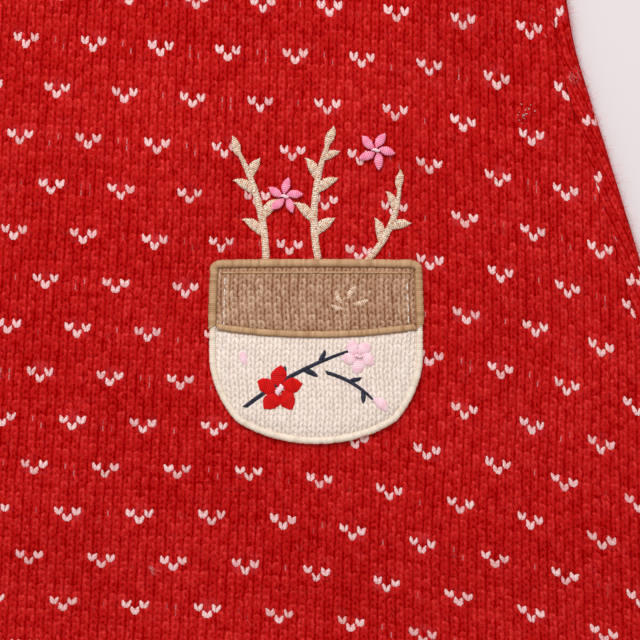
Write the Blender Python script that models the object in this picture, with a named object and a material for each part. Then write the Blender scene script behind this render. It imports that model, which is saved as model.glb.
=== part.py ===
"""A child's knitted A-line dress, laid flat on its back.

Metres, +Z up. X runs across the dress, Y from the hem to the neck, and Z from the surface it lies on
up through the back panel, the front panel and the pocket. Every piece of cloth is a middle surface,
worked out from the sizes below, that Solidify gives its wall.
"""

from math import cos, exp, hypot, pi, radians, sin

import bmesh
import bpy

# ---------------------------------------------------------------- driving sizes

WALL = 0.0022  # thickness of the main knit
SEAM = 0.0003  # gap left between two pieces at a seam
LAYER_GAP = 0.0006  # air between the back panel and the front panel where they lie flattest
FOLD_RADIUS = (WALL + LAYER_GAP) / 2  # middle surface of the cloth where it rolls round an edge
LOW = WALL / 2  # height of the middle surface of the lower layer
HIGH = LOW + 2 * FOLD_RADIUS  # the same for the upper layer
FOLD_STEPS = 5  # facets round half a roll

HEM_HEIGHT = 0.028
HEM_DIP = 0.008  # how much lower the hem hangs at its sides than in the middle
UNDERARM = 0.380  # all heights are measured up from the middle of the hem
SHOULDER_TIP = (0.128, 0.533)
NECK_CORNER = (0.080, 0.550)
FRONT_NECK_DROP = 0.062
BACK_NECK_DROP = 0.022
NECK_ROUNDING = 2.4  # power of the neck curves
BAND_WIDTH = 0.018
BAND_FRONT_DROP = 0.046  # from the top corners of the band down to its free edge
BAND_BACK_DROP = 0.014
CUFF_LENGTH = 0.042
CUFF_INSET = 0.003
SHOULDER_ROLL = 0.006  # how far the back panel comes over the shoulder onto the front

# Side edge of the dress: (height, half width, width of the back panel's strip on the front)
SIDE = (
    (-0.008, 0.2465, 0.0072),
    (0.060, 0.2320, 0.0072),
    (0.140, 0.2130, 0.0072),
    (0.200, 0.1972, 0.0072),
    (0.2577, 0.1807, 0.0072),
    (0.2917, 0.1698, 0.0072),
    (0.3120, 0.1634, 0.0070),
    (0.3237, 0.1597, 0.0062),
    (0.3320, 0.1580, 0.0056),
    (0.3520, 0.1554, 0.0040),
    (0.3800, 0.1532, 0.0024),
)

# Armhole: (height, half width). The first row is where the side seam ends.
ARMHOLE = (
    (0.380, 0.1499),
    (0.388, 0.1460),
    (0.400, 0.1388),
    (0.417, 0.1308),
    (0.440, 0.1250),
    (0.470, 0.1218),
    (0.500, 0.1228),
    (0.533, 0.1280),
)

# Heights of the panels' rows below the underarm, at their side edges
SIDE_ROWS = (0.055, 0.095, 0.135, 0.170, 0.200, 0.230, 0.2577, 0.2917, 0.3120, 0.3320, 0.3520)

# Columns of the panels, as shares of the half width. NECK_SHARE is the column at the neck's corner.
NECK_SHARE = NECK_CORNER[0] / SHOULDER_TIP[0]
NECK_COLUMNS = (0.0, 0.13, 0.26, 0.38, 0.49, 0.575, NECK_SHARE)
SHOULDER_COLUMNS = (0.75, 0.87, 1.0)
SHARES = NECK_COLUMNS + SHOULDER_COLUMNS

# Outline of one sleeve, from the armhole to the wrist: (upper x, upper y, lower x, lower y)
SLEEVE = (
    (0.1284, 0.5329, 0.1526, 0.3808),
    (0.1340, 0.5306, 0.1556, 0.3803),
    (0.1500, 0.5235, 0.1660, 0.3736),
    (0.1740, 0.5065, 0.1830, 0.3600),
    (0.2020, 0.4810, 0.2030, 0.3428),
    (0.2320, 0.4505, 0.2240, 0.3245),
    (0.2620, 0.4185, 0.2450, 0.3060),
    (0.2920, 0.3855, 0.2650, 0.2886),
    (0.3200, 0.3545, 0.2840, 0.2722),
    (0.3480, 0.3235, 0.3020, 0.2567),
    (0.3740, 0.2946, 0.3203, 0.2409),
)
CAP_REACH = 0.36  # share of the sleeve over which its section loses the armhole's curve

# Soft folds of the upper layer: (start x, start y, end x, end y, half width, height)
FOLDS = (
    (0.146, 0.186, 0.182, 0.070, 0.0120, -0.0008),
    (0.163, 0.190, 0.204, 0.066, 0.0110, 0.0012),
    (0.060, 0.030, 0.052, 0.128, 0.0150, 0.0013),
    (-0.030, 0.034, -0.036, 0.170, 0.0170, 0.0011),
    (-0.118, 0.040, -0.096, 0.205, 0.0160, 0.0016),
    (-0.182, 0.052, -0.146, 0.226, 0.0140, 0.0012),
    (0.142, 0.384, 0.084, 0.404, 0.0080, 0.0016),
    (-0.142, 0.386, -0.078, 0.398, 0.0085, 0.0019),
    (0.134, 0.404, 0.098, 0.446, 0.0075, 0.0012),
    (-0.136, 0.402, -0.104, 0.452, 0.0080, 0.0010),
    (0.176, 0.396, 0.226, 0.428, 0.0085, 0.0022),
    (-0.172, 0.394, -0.214, 0.436, 0.0080, 0.0019),
    (0.222, 0.352, 0.262, 0.388, 0.0080, 0.0018),
    (-0.230, 0.344, -0.262, 0.392, 0.0085, 0.0021),
    (0.268, 0.312, 0.296, 0.350, 0.0070, 0.0014),
    (-0.262, 0.318, -0.300, 0.340, 0.0070, 0.0015),
)
LOFT = 0.0012  # how far the upper layer stands off the lower one away from the edges
LOFT_REACH = 0.035  # distance from an edge over which it rises

# Patch pocket, inside its border
POCKET_CENTRE = (0.0727, 0.2255)
POCKET_HALF_WIDTH = 0.0337
POCKET_HALF_HEIGHT = 0.0289
POCKET_WALL = 0.0016
POCKET_SIDES = 12  # facets across the pocket
POCKET_YOKE_SHARE = 0.30  # height of the join, from -1 at the foot to 1 at the mouth
POCKET_JOIN_SAG = 0.0030
FOOT_ROUNDING = 0.86  # 1 makes the lower half an ellipse, and 0 a rectangle
MOUTH_ROUNDING = 0.10
BORDER_STEPS = 12  # lengths of border cord along each side of the pocket
YOKE_BORDER_RADIUS = 0.00145
FACE_BORDER_RADIUS = 0.00120
DIVIDER_RADIUS = 0.00110

COLOURS = {  # base colour, roughness
    "red_knit": ((0.45, 0.012, 0.011), 0.9),
    "brown_knit": ((0.40, 0.24, 0.15), 0.9),
    "cream_knit": ((0.82, 0.72, 0.66), 0.9),
    "tan_cord": ((0.42, 0.27, 0.13), 0.6),
    "cream_cord": ((0.82, 0.72, 0.62), 0.6),
}


# ---------------------------------------------------------------- shape helpers


def smooth(share):
    share = min(max(share, 0.0), 1.0)
    return share * share * (3 - 2 * share)


def read(table, height, column):
    """A table's column at this height, on a smooth curve through its rows."""
    rows = sorted(table)
    k = max(i for i in range(len(rows) - 1) if i == 0 or rows[i][0] <= height)
    (h0, v0), (h1, v1) = [(row[0], row[column]) for row in rows[k : k + 2]]

    def slope(i):
        a, b = rows[max(i - 1, 0)], rows[min(i + 1, len(rows) - 1)]
        return (b[column] - a[column]) / (b[0] - a[0])

    span = h1 - h0
    s = min(max((height - h0) / span, 0.0), 1.0)
    return (
        v0 * (1 + 2 * s) * (1 - s) ** 2
        + slope(k) * span * s * (1 - s) ** 2
        + v1 * s * s * (3 - 2 * s)
        + slope(k + 1) * span * s * s * (s - 1)
    )


def outer_half_width(height):
    return read(SIDE, height, 1)


def strip_width(height):
    return read(SIDE, height, 2)


def hem_line(x):
    return -HEM_DIP * (x / SIDE[0][1]) ** 2


def fold_height(x, y):
    """What the soft folds add to the upper layer at a place."""
    total = 0.0
    for x0, y0, x1, y1, half_width, height in FOLDS:
        along = (x1 - x0, y1 - y0)
        length = hypot(*along)
        s = ((x - x0) * along[0] + (y - y0) * along[1]) / length**2
        aside = abs((x - x0) * along[1] - (y - y0) * along[0]) / length
        past = max(-s, s - 1, 0.0) * length
        total += height * exp(-((aside / half_width) ** 2) - (past / (1.6 * half_width)) ** 2)
    return total


def upper(x, y, from_edge):
    """Height of the middle surface of the upper layer, this far from the edge where it rolls down."""
    return HIGH + (LOFT + fold_height(x, y)) * smooth(from_edge / LOFT_REACH)


def body_upper(x, y):
    """The same on the front panel, the back panel's strip and the hem rib."""
    if y > UNDERARM:
        # Above the underarm the front is nearest to the armhole, the shoulder line or the neck.
        aside = read(ARMHOLE, min(y, SHOULDER_TIP[1]), 1) - abs(x)
        below = shoulder_line(abs(x)) - y
        return upper(x, y, min(aside + 0.004, below))
    return upper(x, y, outer_half_width(y) - abs(x))


def shoulder_line(x):
    (x0, y0), (x1, y1) = NECK_CORNER, SHOULDER_TIP
    return y0 + (y1 - y0) * (max(x, x0) - x0) / (x1 - x0)


SHOULDER_LENGTH = hypot(SHOULDER_TIP[0] - NECK_CORNER[0], SHOULDER_TIP[1] - NECK_CORNER[1])
SHOULDER_OUT = (
    (NECK_CORNER[1] - SHOULDER_TIP[1]) / SHOULDER_LENGTH,
    (SHOULDER_TIP[0] - NECK_CORNER[0]) / SHOULDER_LENGTH,
)
BAND_ALONG = (-SHOULDER_OUT[1], SHOULDER_OUT[0])  # the shoulder line, going on into the neckband


def shoulder_point(share, inset):
    """A point of the right shoulder line, from the neck at NECK_SHARE to the tip at 1, moved inwards."""
    s = (share - NECK_SHARE) / (1 - NECK_SHARE)
    x = NECK_CORNER[0] + s * (SHOULDER_TIP[0] - NECK_CORNER[0])
    y = NECK_CORNER[1] + s * (SHOULDER_TIP[1] - NECK_CORNER[1])
    return (x - SHOULDER_OUT[0] * inset, y - SHOULDER_OUT[1] * inset)


def neck_line(corner, drop):
    """The right half of a neck curve, from its middle to this corner, a point for each neck column."""
    shares = [share / NECK_SHARE for share in NECK_COLUMNS]
    return [(corner[0] * s, corner[1] - drop * (1 - s**NECK_ROUNDING)) for s in shares]


def unit(a, b):
    length = hypot(b[0] - a[0], b[1] - a[1])
    return ((b[0] - a[0]) / length, (b[1] - a[1]) / length)


def between(a, b, share):
    return (a[0] + (b[0] - a[0]) * share, a[1] + (b[1] - a[1]) * share)


def mirrored(points):
    """Right-hand points, from the middle outwards, with their mirror images before them."""
    return [(-x, y) for x, y in points[:0:-1]] + list(points)


# ---------------------------------------------------------------- mesh helpers


def material(name):
    made = bpy.data.materials.get(name)
    if made:
        return made
    made = bpy.data.materials.new(name)
    made.use_nodes = True
    shader = made.node_tree.nodes["Principled BSDF"]
    colour, roughness = COLOURS[name]
    shader.inputs["Base Color"].default_value = (*colour, 1)
    shader.inputs["Roughness"].default_value = roughness
    shader.inputs["Metallic"].default_value = 0
    made.diffuse_color = (*colour, 1)
    return made


def place(obj, colour):
    bpy.context.scene.collection.objects.link(obj)
    obj.data.materials.append(material(colour))
    obj.parent = whole
    return obj


def cloth(name, bm, wall, colour):
    """An object from a middle surface, with its wall from Solidify."""
    bmesh.ops.recalc_face_normals(bm, faces=bm.faces)
    mesh = bpy.data.meshes.new(name)
    bm.to_mesh(mesh)
    bm.free()
    mesh.shade_smooth()
    mesh.set_sharp_from_angle(angle=radians(40))
    obj = place(bpy.data.objects.new(name, mesh), colour)
    solidify = obj.modifiers.new("wall", "SOLIDIFY")
    solidify.thickness = wall
    solidify.offset = 0
    solidify.use_even_offset = True
    solidify.use_quality_normals = True
    return obj


def sheet_faces(bm, rows, closed=False):
    """Quads between rows of vertices. A closed sheet joins each row's end to its start."""
    for low, high in zip(rows, rows[1:]):
        count = len(low)
        for i in range(count if closed else count - 1):
            j = (i + 1) % count
            bm.faces.new((low[i], low[j], high[j], high[i]))


def add_rows(bm, rows):
    return [[bm.verts.new(point) for point in row] for row in rows]


def roll(point, outward, steps=FOLD_STEPS):
    """Points round a roll, from the lower layer to the upper one. point is the cloth's outermost edge."""
    cx = point[0] - outward[0] * (FOLD_RADIUS + WALL / 2)
    cy = point[1] - outward[1] * (FOLD_RADIUS + WALL / 2)
    found = []
    for i in range(steps + 1):
        out = FOLD_RADIUS * sin(pi * i / steps)
        height = LOW + FOLD_RADIUS * (1 - cos(pi * i / steps))
        found.append((cx + outward[0] * out, cy + outward[1] * out, height))
    return found


def flat_ring(left, right, top, bottom, top_height):
    """One row of a flattened tube: over the top from left to right, round the roll, and back underneath.

    left and right are (outermost point, outward direction). top and bottom are the points between the
    rolls, from left to right."""
    ring = roll(*left)
    ring += [(x, y, top_height(x, y)) for x, y in top]
    ring += roll(*right)[::-1]
    ring += [(x, y, LOW) for x, y in bottom[::-1]]
    return ring


# ---------------------------------------------------------------- front and back


def patch(side, bottom, top):
    """Rows of plan points that fill the four edges of half a panel.

    side runs up the right edge. bottom and top run from the middle to the right, and share their last
    points with side. The two halves meet on the middle line."""
    rows = []
    low, high = bottom[0], top[0]
    base, tip = side[0], side[-1]
    heights = [(p[1] - base[1]) / (tip[1] - base[1]) for p in side]
    for s, edge in zip(heights, side):
        row = []
        for t, foot, head in zip(SHARES, bottom, top):
            middle = (0.0, low[1] + s * (high[1] - low[1]))
            flat = [
                (1 - s) * ((1 - t) * low[i] + t * base[i]) + s * ((1 - t) * high[i] + t * tip[i])
                for i in (0, 1)
            ]
            row.append(
                tuple(
                    (1 - t) * middle[i] + t * edge[i] + (1 - s) * foot[i] + s * head[i] - flat[i]
                    for i in (0, 1)
                )
            )
        rows.append(mirrored(row))
    return rows


def hem_corner(rise, side_inset):
    """Half width where the line this far above the hem meets the side, moved inwards."""
    half = SIDE[0][1]
    for _ in range(8):
        y = hem_line(half) + rise
        half = outer_half_width(y) - side_inset(y)
    return half


def panel_edges(side_inset, shoulder_inset, neck_drop):
    """The right edge, foot and head of half a panel, as plan points."""
    half = hem_corner(HEM_HEIGHT, side_inset)
    bottom = [(t * half, hem_line(t * half) + HEM_HEIGHT) for t in SHARES]
    top = neck_line(shoulder_point(NECK_SHARE, shoulder_inset), neck_drop)
    top += [shoulder_point(t, shoulder_inset) for t in SHOULDER_COLUMNS]
    side = [bottom[-1]]
    side += [(outer_half_width(y) - side_inset(y), y) for y in SIDE_ROWS]
    side += [(x, y) for y, x in ARMHOLE[:-1]]
    side.append(top[-1])
    return side, bottom, top


def build_front():
    bm = bmesh.new()
    edges = panel_edges(
        lambda y: strip_width(y) + SEAM,
        SHOULDER_ROLL + 1.5 * SEAM,
        FRONT_NECK_DROP - SHOULDER_ROLL,
    )
    rows = [[(x, y, body_upper(x, y)) for x, y in row] for row in patch(*edges)]
    sheet_faces(bm, add_rows(bm, rows))
    cloth("front", bm, WALL, "red_knit")


def build_back():
    """The back panel lies flat and rolls round the sides and shoulders onto the front."""
    bm = bmesh.new()
    turn = FOLD_RADIUS + WALL / 2  # the flat part ends this far inside the outermost edge
    side, bottom, top = panel_edges(lambda y: turn, turn, BACK_NECK_DROP - turn)
    rows = add_rows(bm, [[(x, y, LOW) for x, y in row] for row in patch(side, bottom, top)])
    sheet_faces(bm, rows)
    for sign in (-1, 1):
        last = -1 if sign > 0 else 0
        strips = []
        for k, vert in enumerate(row[last] for row in rows[: len(SIDE_ROWS) + 2]):
            y = vert.co.y
            half = outer_half_width(y)
            points = roll((sign * half, y), (sign, 0))[1:]
            points.append((sign * (half - strip_width(y)), y, body_upper(half - strip_width(y), y)))
            if k == 0:  # the foot of the strip follows the hem seam
                points = [(x, hem_line(x) + HEM_HEIGHT, z) for x, _, z in points]
            strips.append([vert] + [bm.verts.new(point) for point in points])
        sheet_faces(bm, strips)
        strips = []
        for share, vert in zip(SHARES, rows[-1][len(SHARES) - 1 :: sign]):
            if share >= NECK_SHARE:
                edge, inner = shoulder_point(share, 0), shoulder_point(share, SHOULDER_ROLL)
                points = roll((sign * edge[0], edge[1]), (sign * SHOULDER_OUT[0], SHOULDER_OUT[1]))[1:]
                x, y = sign * inner[0], inner[1]
                points.append((x, y, body_upper(x, y)))
                strips.append([vert] + [bm.verts.new(point) for point in points])
        sheet_faces(bm, strips)
    cloth("back", bm, WALL, "red_knit")


# ---------------------------------------------------------------- ribs and sleeves


def build_hem():
    bm = bmesh.new()
    rings = []
    for rise in (0.0, HEM_HEIGHT / 2, HEM_HEIGHT - SEAM):
        half = hem_corner(rise, lambda y: 0.0)
        reach = hem_corner(rise, strip_width)
        line = mirrored([(t * reach, hem_line(t * reach) + rise) for t in SHARES])
        y = hem_line(half) + rise
        rings.append(flat_ring(((-half, y), (-1, 0)), ((half, y), (1, 0)), line, line, body_upper))
    sheet_faces(bm, add_rows(bm, rings), closed=True)
    cloth("hem_rib", bm, WALL, "red_knit")


def build_neckband():
    """The band's fold goes on along the shoulder line, so its free edge is narrower than its seam."""
    turn = FOLD_RADIUS + WALL / 2
    gap = 1.5 * SEAM
    seam_corner = (NECK_CORNER[0] + BAND_ALONG[0] * gap, NECK_CORNER[1] + BAND_ALONG[1] * gap)
    free_corner = (
        NECK_CORNER[0] + BAND_ALONG[0] * BAND_WIDTH,
        NECK_CORNER[1] + BAND_ALONG[1] * BAND_WIDTH,
    )

    def inside(corner, inset):
        return (corner[0] - SHOULDER_OUT[0] * inset, corner[1] - SHOULDER_OUT[1] * inset)

    front_seam = neck_line(inside(seam_corner, SHOULDER_ROLL), FRONT_NECK_DROP - SHOULDER_ROLL - SEAM)
    front_free = neck_line(inside(free_corner, SHOULDER_ROLL), BAND_FRONT_DROP - SHOULDER_ROLL)
    back_seam = neck_line(inside(seam_corner, turn), BACK_NECK_DROP - turn - SEAM)
    back_free = neck_line(inside(free_corner, turn), BAND_BACK_DROP - turn)
    bm = bmesh.new()
    rings = []
    for share in (0.0, 0.5, 1.0):
        corner = between(seam_corner, free_corner, share)
        top = mirrored([between(a, b, share) for a, b in zip(front_seam, front_free)])
        bottom = mirrored([between(a, b, share) for a, b in zip(back_seam[:-1], back_free[:-1])])
        left = ((-corner[0], corner[1]), (-SHOULDER_OUT[0], SHOULDER_OUT[1]))
        rings.append(flat_ring(left, (corner, SHOULDER_OUT), top, bottom, body_upper))
    sheet_faces(bm, add_rows(bm, rings), closed=True)
    cloth("neckband", bm, WALL, "red_knit")


def sleeve_height(edge_a, edge_b):
    """Upper layer of a sleeve row that runs between these two outermost points."""

    def height(x, y):
        near = min(hypot(x - edge_a[0], y - edge_a[1]), hypot(x - edge_b[0], y - edge_b[1]))
        return upper(x, y, near)

    return height


def build_sleeve(name, sign):
    """One sleeve. Its first row follows the armhole, and the curve fades out down the sleeve."""
    bm = bmesh.new()
    rings = []
    arm = [(x, y) for y, x in ARMHOLE[::-1]]
    first = (SLEEVE[0][:2], SLEEVE[0][2:])
    shares = [(arm[0][1] - y) / (arm[0][1] - arm[-1][1]) for _, y in arm[1:-1]]
    curve = []
    for share, before, spot, after in zip(shares, arm, arm[1:], arm[2:]):
        way = unit(before, after)
        gap = 1.5 * SEAM
        straight = between(*first, share)
        curve.append((spot[0] - way[1] * gap - straight[0], spot[1] + way[0] * gap - straight[1]))
    for k, (ux, uy, lx, ly) in enumerate(SLEEVE):
        top, low = (ux, uy), (lx, ly)
        down = unit(top, low)
        left_over = 1 - smooth(k / (len(SLEEVE) - 1) / CAP_REACH)
        line = []
        for share, (dx, dy) in zip(shares, curve):
            x, y = between(top, low, share)
            line.append((sign * (x + dx * left_over), y + dy * left_over))
        ends = [(sign * p[0], p[1]) for p in (top, low)]
        out = (sign * down[0], down[1])
        rings.append(
            flat_ring((ends[0], (-out[0], -out[1])), (ends[1], out), line, line, sleeve_height(*ends))
        )
    sheet_faces(bm, add_rows(bm, rings), closed=True)
    cloth(name, bm, WALL, "red_knit")


def build_cuff(name, sign):
    bm = bmesh.new()
    ux, uy, lx, ly = SLEEVE[-1]
    down = unit((ux, uy), (lx, ly))
    onward = (-down[1], down[0])
    rings = []
    for share in (0.0, 0.5, 1.0):
        reach = 1.5 * SEAM + share * CUFF_LENGTH
        inset = CUFF_INSET * smooth(share * 2)
        ends = []
        for x, y, way in ((ux, uy, 1), (lx, ly, -1)):
            px = x + onward[0] * reach + down[0] * inset * way
            py = y + onward[1] * reach + down[1] * inset * way
            ends.append((sign * px, py))
        out = (sign * down[0], down[1])
        line = [between(ends[0], ends[1], s) for s in (0.12, 0.31, 0.5, 0.69, 0.88)]
        rings.append(
            flat_ring((ends[0], (-out[0], -out[1])), (ends[1], out), line, line, sleeve_height(*ends))
        )
    sheet_faces(bm, add_rows(bm, rings), closed=True)
    cloth(name, bm, WALL, "red_knit")


# ---------------------------------------------------------------- pocket


def pocket_point(across, up):
    """A plan point of the pocket from its place in a square, -1 to 1 each way, with rounded corners."""
    rounding = FOOT_ROUNDING + (MOUTH_ROUNDING - FOOT_ROUNDING) * smooth((up + 0.5) / 1.0)
    x = across * (1 - rounding * up * up / 2) ** 0.5
    y = up * (1 - rounding * across * across / 2) ** 0.5
    return (
        POCKET_CENTRE[0] + POCKET_HALF_WIDTH * x,
        POCKET_CENTRE[1] + POCKET_HALF_HEIGHT * y,
    )


def join_sag(across, up):
    """How far the rows near the join hang in their middle."""
    near = exp(-(((up - POCKET_YOKE_SHARE) / 0.5) ** 2))
    return -POCKET_JOIN_SAG * (1 - across * across) * near


def pocket_height(x, y, above):
    """This far above the front panel's outer face."""
    return body_upper(x, y) + WALL / 2 + above


def build_pocket_piece(name, low, high, rows, colour):
    bm = bmesh.new()
    lines = []
    for j in range(rows + 1):
        up = low + (high - low) * j / rows
        line = []
        for i in range(POCKET_SIDES + 1):
            across = -1 + 2 * i / POCKET_SIDES
            x, y = pocket_point(across, up)
            y += join_sag(across, up)
            line.append((x, y, pocket_height(x, y, SEAM + POCKET_WALL / 2)))
        lines.append(line)
    sheet_faces(bm, add_rows(bm, lines))
    cloth(name, bm, POCKET_WALL, colour)


def cord(name, points, radius, colour):
    curve = bpy.data.curves.new(name, "CURVE")
    curve.dimensions = "3D"
    curve.bevel_depth = radius
    curve.bevel_resolution = 2
    curve.use_fill_caps = True
    spline = curve.splines.new("POLY")
    spline.points.add(len(points) - 1)
    for spot, point in zip(spline.points, points):
        spot.co = (*point, 1)
    place(bpy.data.objects.new(name, curve), colour)


def edge_line(corners):
    """Plan points along the pocket's edge, through these places in its square."""
    line = []
    for (a0, u0), (a1, u1) in zip(corners, corners[1:]):
        for i in range(BORDER_STEPS + 1):
            across = a0 + (a1 - a0) * i / BORDER_STEPS
            up = u0 + (u1 - u0) * i / BORDER_STEPS
            x, y = pocket_point(across, up)
            line.append((x, y + join_sag(across, up)))
    return [point for i, point in enumerate(line) if i == 0 or point != line[i - 1]]


def build_border(name, corners, radius, colour):
    """A cord just outside the pocket's edge. It runs counterclockwise, so outwards is on its right."""
    line = edge_line(corners)
    ways = [unit(a, b) for a, b in zip(line, line[1:])]
    points = []
    for (x, y), before, after in zip(line, ways[:1] + ways, ways + ways[-1:]):
        # Both stretches that meet here stay this far out, so the step out is longer at a corner.
        reach = (1.5 * SEAM + radius) / (1 + before[0] * after[0] + before[1] * after[1])
        px = x + (before[1] + after[1]) * reach
        py = y - (before[0] + after[0]) * reach
        points.append((px, py, pocket_height(px, py, SEAM + radius)))
    cord(name, points, radius, colour)


def build_divider():
    points = []
    for i in range(15):
        across = (-1 + 2 * i / 14) * (1 - (SEAM + DIVIDER_RADIUS) / POCKET_HALF_WIDTH)
        x, y = pocket_point(across, POCKET_YOKE_SHARE)
        y += join_sag(across, POCKET_YOKE_SHARE)
        points.append((x, y, pocket_height(x, y, 2 * SEAM + POCKET_WALL + DIVIDER_RADIUS)))
    cord("pocket_divider", points, DIVIDER_RADIUS, "tan_cord")


def build_pocket():
    half_seam = 0.7 * SEAM / POCKET_HALF_HEIGHT  # in the pocket's own heights, from -1 to 1
    build_pocket_piece("pocket_yoke", POCKET_YOKE_SHARE + half_seam, 1.0, 4, "brown_knit")
    build_pocket_piece("pocket_face", -1.0, POCKET_YOKE_SHARE - half_seam, 8, "cream_knit")
    join = (POCKET_YOKE_SHARE + half_seam, POCKET_YOKE_SHARE - half_seam)
    over = ((1, join[0]), (1, 1), (-1, 1), (-1, join[0]))
    under = ((-1, join[1]), (-1, -1), (1, -1), (1, join[1]))
    build_border("yoke_border", over, YOKE_BORDER_RADIUS, "tan_cord")
    build_border("face_border", under, FACE_BORDER_RADIUS, "cream_cord")
    build_divider()


# ---------------------------------------------------------------- the dress

for old in list(bpy.data.objects):
    bpy.data.objects.remove(old, do_unlink=True)

whole = bpy.data.objects.new("dress", None)
bpy.context.scene.collection.objects.link(whole)

build_back()
build_front()
build_hem()
build_neckband()
for side_name, side_sign in (("right", -1), ("left", 1)):
    build_sleeve(f"sleeve_{side_name}", side_sign)
    build_cuff(f"cuff_{side_name}", side_sign)
build_pocket()

# The origin is the middle of the foot of the box round everything.
bpy.context.view_layer.update()
graph = bpy.context.evaluated_depsgraph_get()
heights = []
for obj in whole.children:
    shaped = obj.evaluated_get(graph)
    heights += [vert.co.y for vert in shaped.to_mesh().vertices]
    shaped.to_mesh_clear()
whole.location = (0, -(min(heights) + max(heights)) / 2, 0)
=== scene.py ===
# %% [markdown]
# # A child's red knit dress, laid flat
#
# The dress is an A-line jersey with long sleeves, rib bands and one patch pocket, knitted in red
# with small pale flecks. It lies on its back, so nearly everything is two layers of knit, one on
# the other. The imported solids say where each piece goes. This script makes each piece again as
# thin cloth with its creases, then the stitching on it, and gives each one a knit or thread
# finish.

from math import pi, radians

import bpy
import numpy as np
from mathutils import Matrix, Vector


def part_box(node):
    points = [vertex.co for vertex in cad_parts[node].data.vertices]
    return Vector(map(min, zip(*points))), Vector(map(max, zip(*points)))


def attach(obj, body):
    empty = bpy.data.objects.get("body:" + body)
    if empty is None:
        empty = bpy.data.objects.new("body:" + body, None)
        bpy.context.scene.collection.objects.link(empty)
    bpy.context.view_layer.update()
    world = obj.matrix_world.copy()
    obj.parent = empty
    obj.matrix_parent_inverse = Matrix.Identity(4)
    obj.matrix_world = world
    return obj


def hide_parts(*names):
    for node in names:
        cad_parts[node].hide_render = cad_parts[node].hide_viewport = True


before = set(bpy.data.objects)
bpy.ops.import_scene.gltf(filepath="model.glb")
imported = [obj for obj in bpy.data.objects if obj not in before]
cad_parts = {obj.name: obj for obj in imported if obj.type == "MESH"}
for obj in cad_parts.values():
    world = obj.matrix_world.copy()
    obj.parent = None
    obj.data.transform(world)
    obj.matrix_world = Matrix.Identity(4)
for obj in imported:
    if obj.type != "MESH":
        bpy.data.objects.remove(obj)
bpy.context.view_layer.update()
print("frame holds", len(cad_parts), "solids")

# %% [markdown]
# ## The dress in numbers
#
# A pattern cutter draws a dress from a few lengths: hem, chest, shoulder, neck. The same lengths
# drive the cloth here. Heights are measured up from the middle of the hem, and `HEM_MIDDLE` turns
# them into places in the frame.

# %% Sizes of the dress
HEM_DIP = 0.008
HEM_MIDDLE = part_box("hem_rib")[0].y + HEM_DIP  # the frame's y at height 0
WALL = 0.0016  # thickness of the knit, hung inwards from its outer face
TURN = 0.0025  # radius of the outer face where cloth rolls round an edge
TOP = 2 * TURN  # outer face of the upper layer beside a roll
LOFT, LOFT_REACH = 0.0012, 0.035  # how far the upper layer rises, and over what way in
UNEVENNESS = 0.00016
SEAM_DEPTH, SEAM_REACH = 0.0006, 0.0016  # how far a seam draws cloth down, and how near it
NEAR_SEAMS = 0.0007, 0.0015, 0.0025, 0.004  # rows of points beside a seam
BAND_GAP, SHOULDER_GAP, ARMHOLE_EASE = 0.0001, 0.00045, 0.004
HEM_HEIGHT, UNDERARM = 0.028, 0.380
SHOULDER_TIP, NECK_CORNER = np.array((0.128, 0.533)), np.array((0.080, 0.550))
FRONT_NECK_DROP, BACK_NECK_DROP, NECK_ROUNDING = 0.062, 0.022, 2.4
BAND_WIDTH, BAND_FRONT_DROP, BAND_BACK_DROP = 0.018, 0.046, 0.014
SHOULDER_ROLL, CUFF_LENGTH, CUFF_INSET, CAP_REACH = 0.006, 0.042, 0.003, 0.36

# Side edge: (height, half width, width of the back's strip that comes round onto the front)
SIDE = (
    (-0.008, 0.2465, 0.0072),
    (0.060, 0.2320, 0.0072),
    (0.140, 0.2130, 0.0072),
    (0.200, 0.1972, 0.0072),
    (0.2577, 0.1807, 0.0072),
    (0.2917, 0.1703, 0.0072),
    (0.3120, 0.1639, 0.0070),
    (0.3237, 0.1603, 0.0062),
    (0.3320, 0.1584, 0.0056),
    (0.3520, 0.1554, 0.0040),
    (0.3800, 0.1532, 0.0024),
)
# Armhole: (height, half width)
ARMHOLE = (
    (0.380, 0.1499),
    (0.388, 0.1460),
    (0.400, 0.1388),
    (0.417, 0.1308),
    (0.440, 0.1250),
    (0.470, 0.1218),
    (0.500, 0.1228),
    (0.533, 0.1280),
)
# Sleeve, armhole to wrist: (row, upper x, upper height, lower x, lower height)
SLEEVE = (
    (0, 0.1284, 0.5329, 0.1526, 0.3808),
    (1, 0.1340, 0.5306, 0.1556, 0.3803),
    (2, 0.1500, 0.5235, 0.1660, 0.3736),
    (3, 0.1740, 0.5065, 0.1830, 0.3600),
    (4, 0.2020, 0.4810, 0.2030, 0.3428),
    (5, 0.2320, 0.4505, 0.2240, 0.3245),
    (6, 0.2620, 0.4185, 0.2450, 0.3060),
    (7, 0.2920, 0.3855, 0.2650, 0.2886),
    (8, 0.3200, 0.3545, 0.2840, 0.2722),
    (9, 0.3480, 0.3235, 0.3020, 0.2567),
    (10, 0.3740, 0.2946, 0.3203, 0.2409),
)
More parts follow.
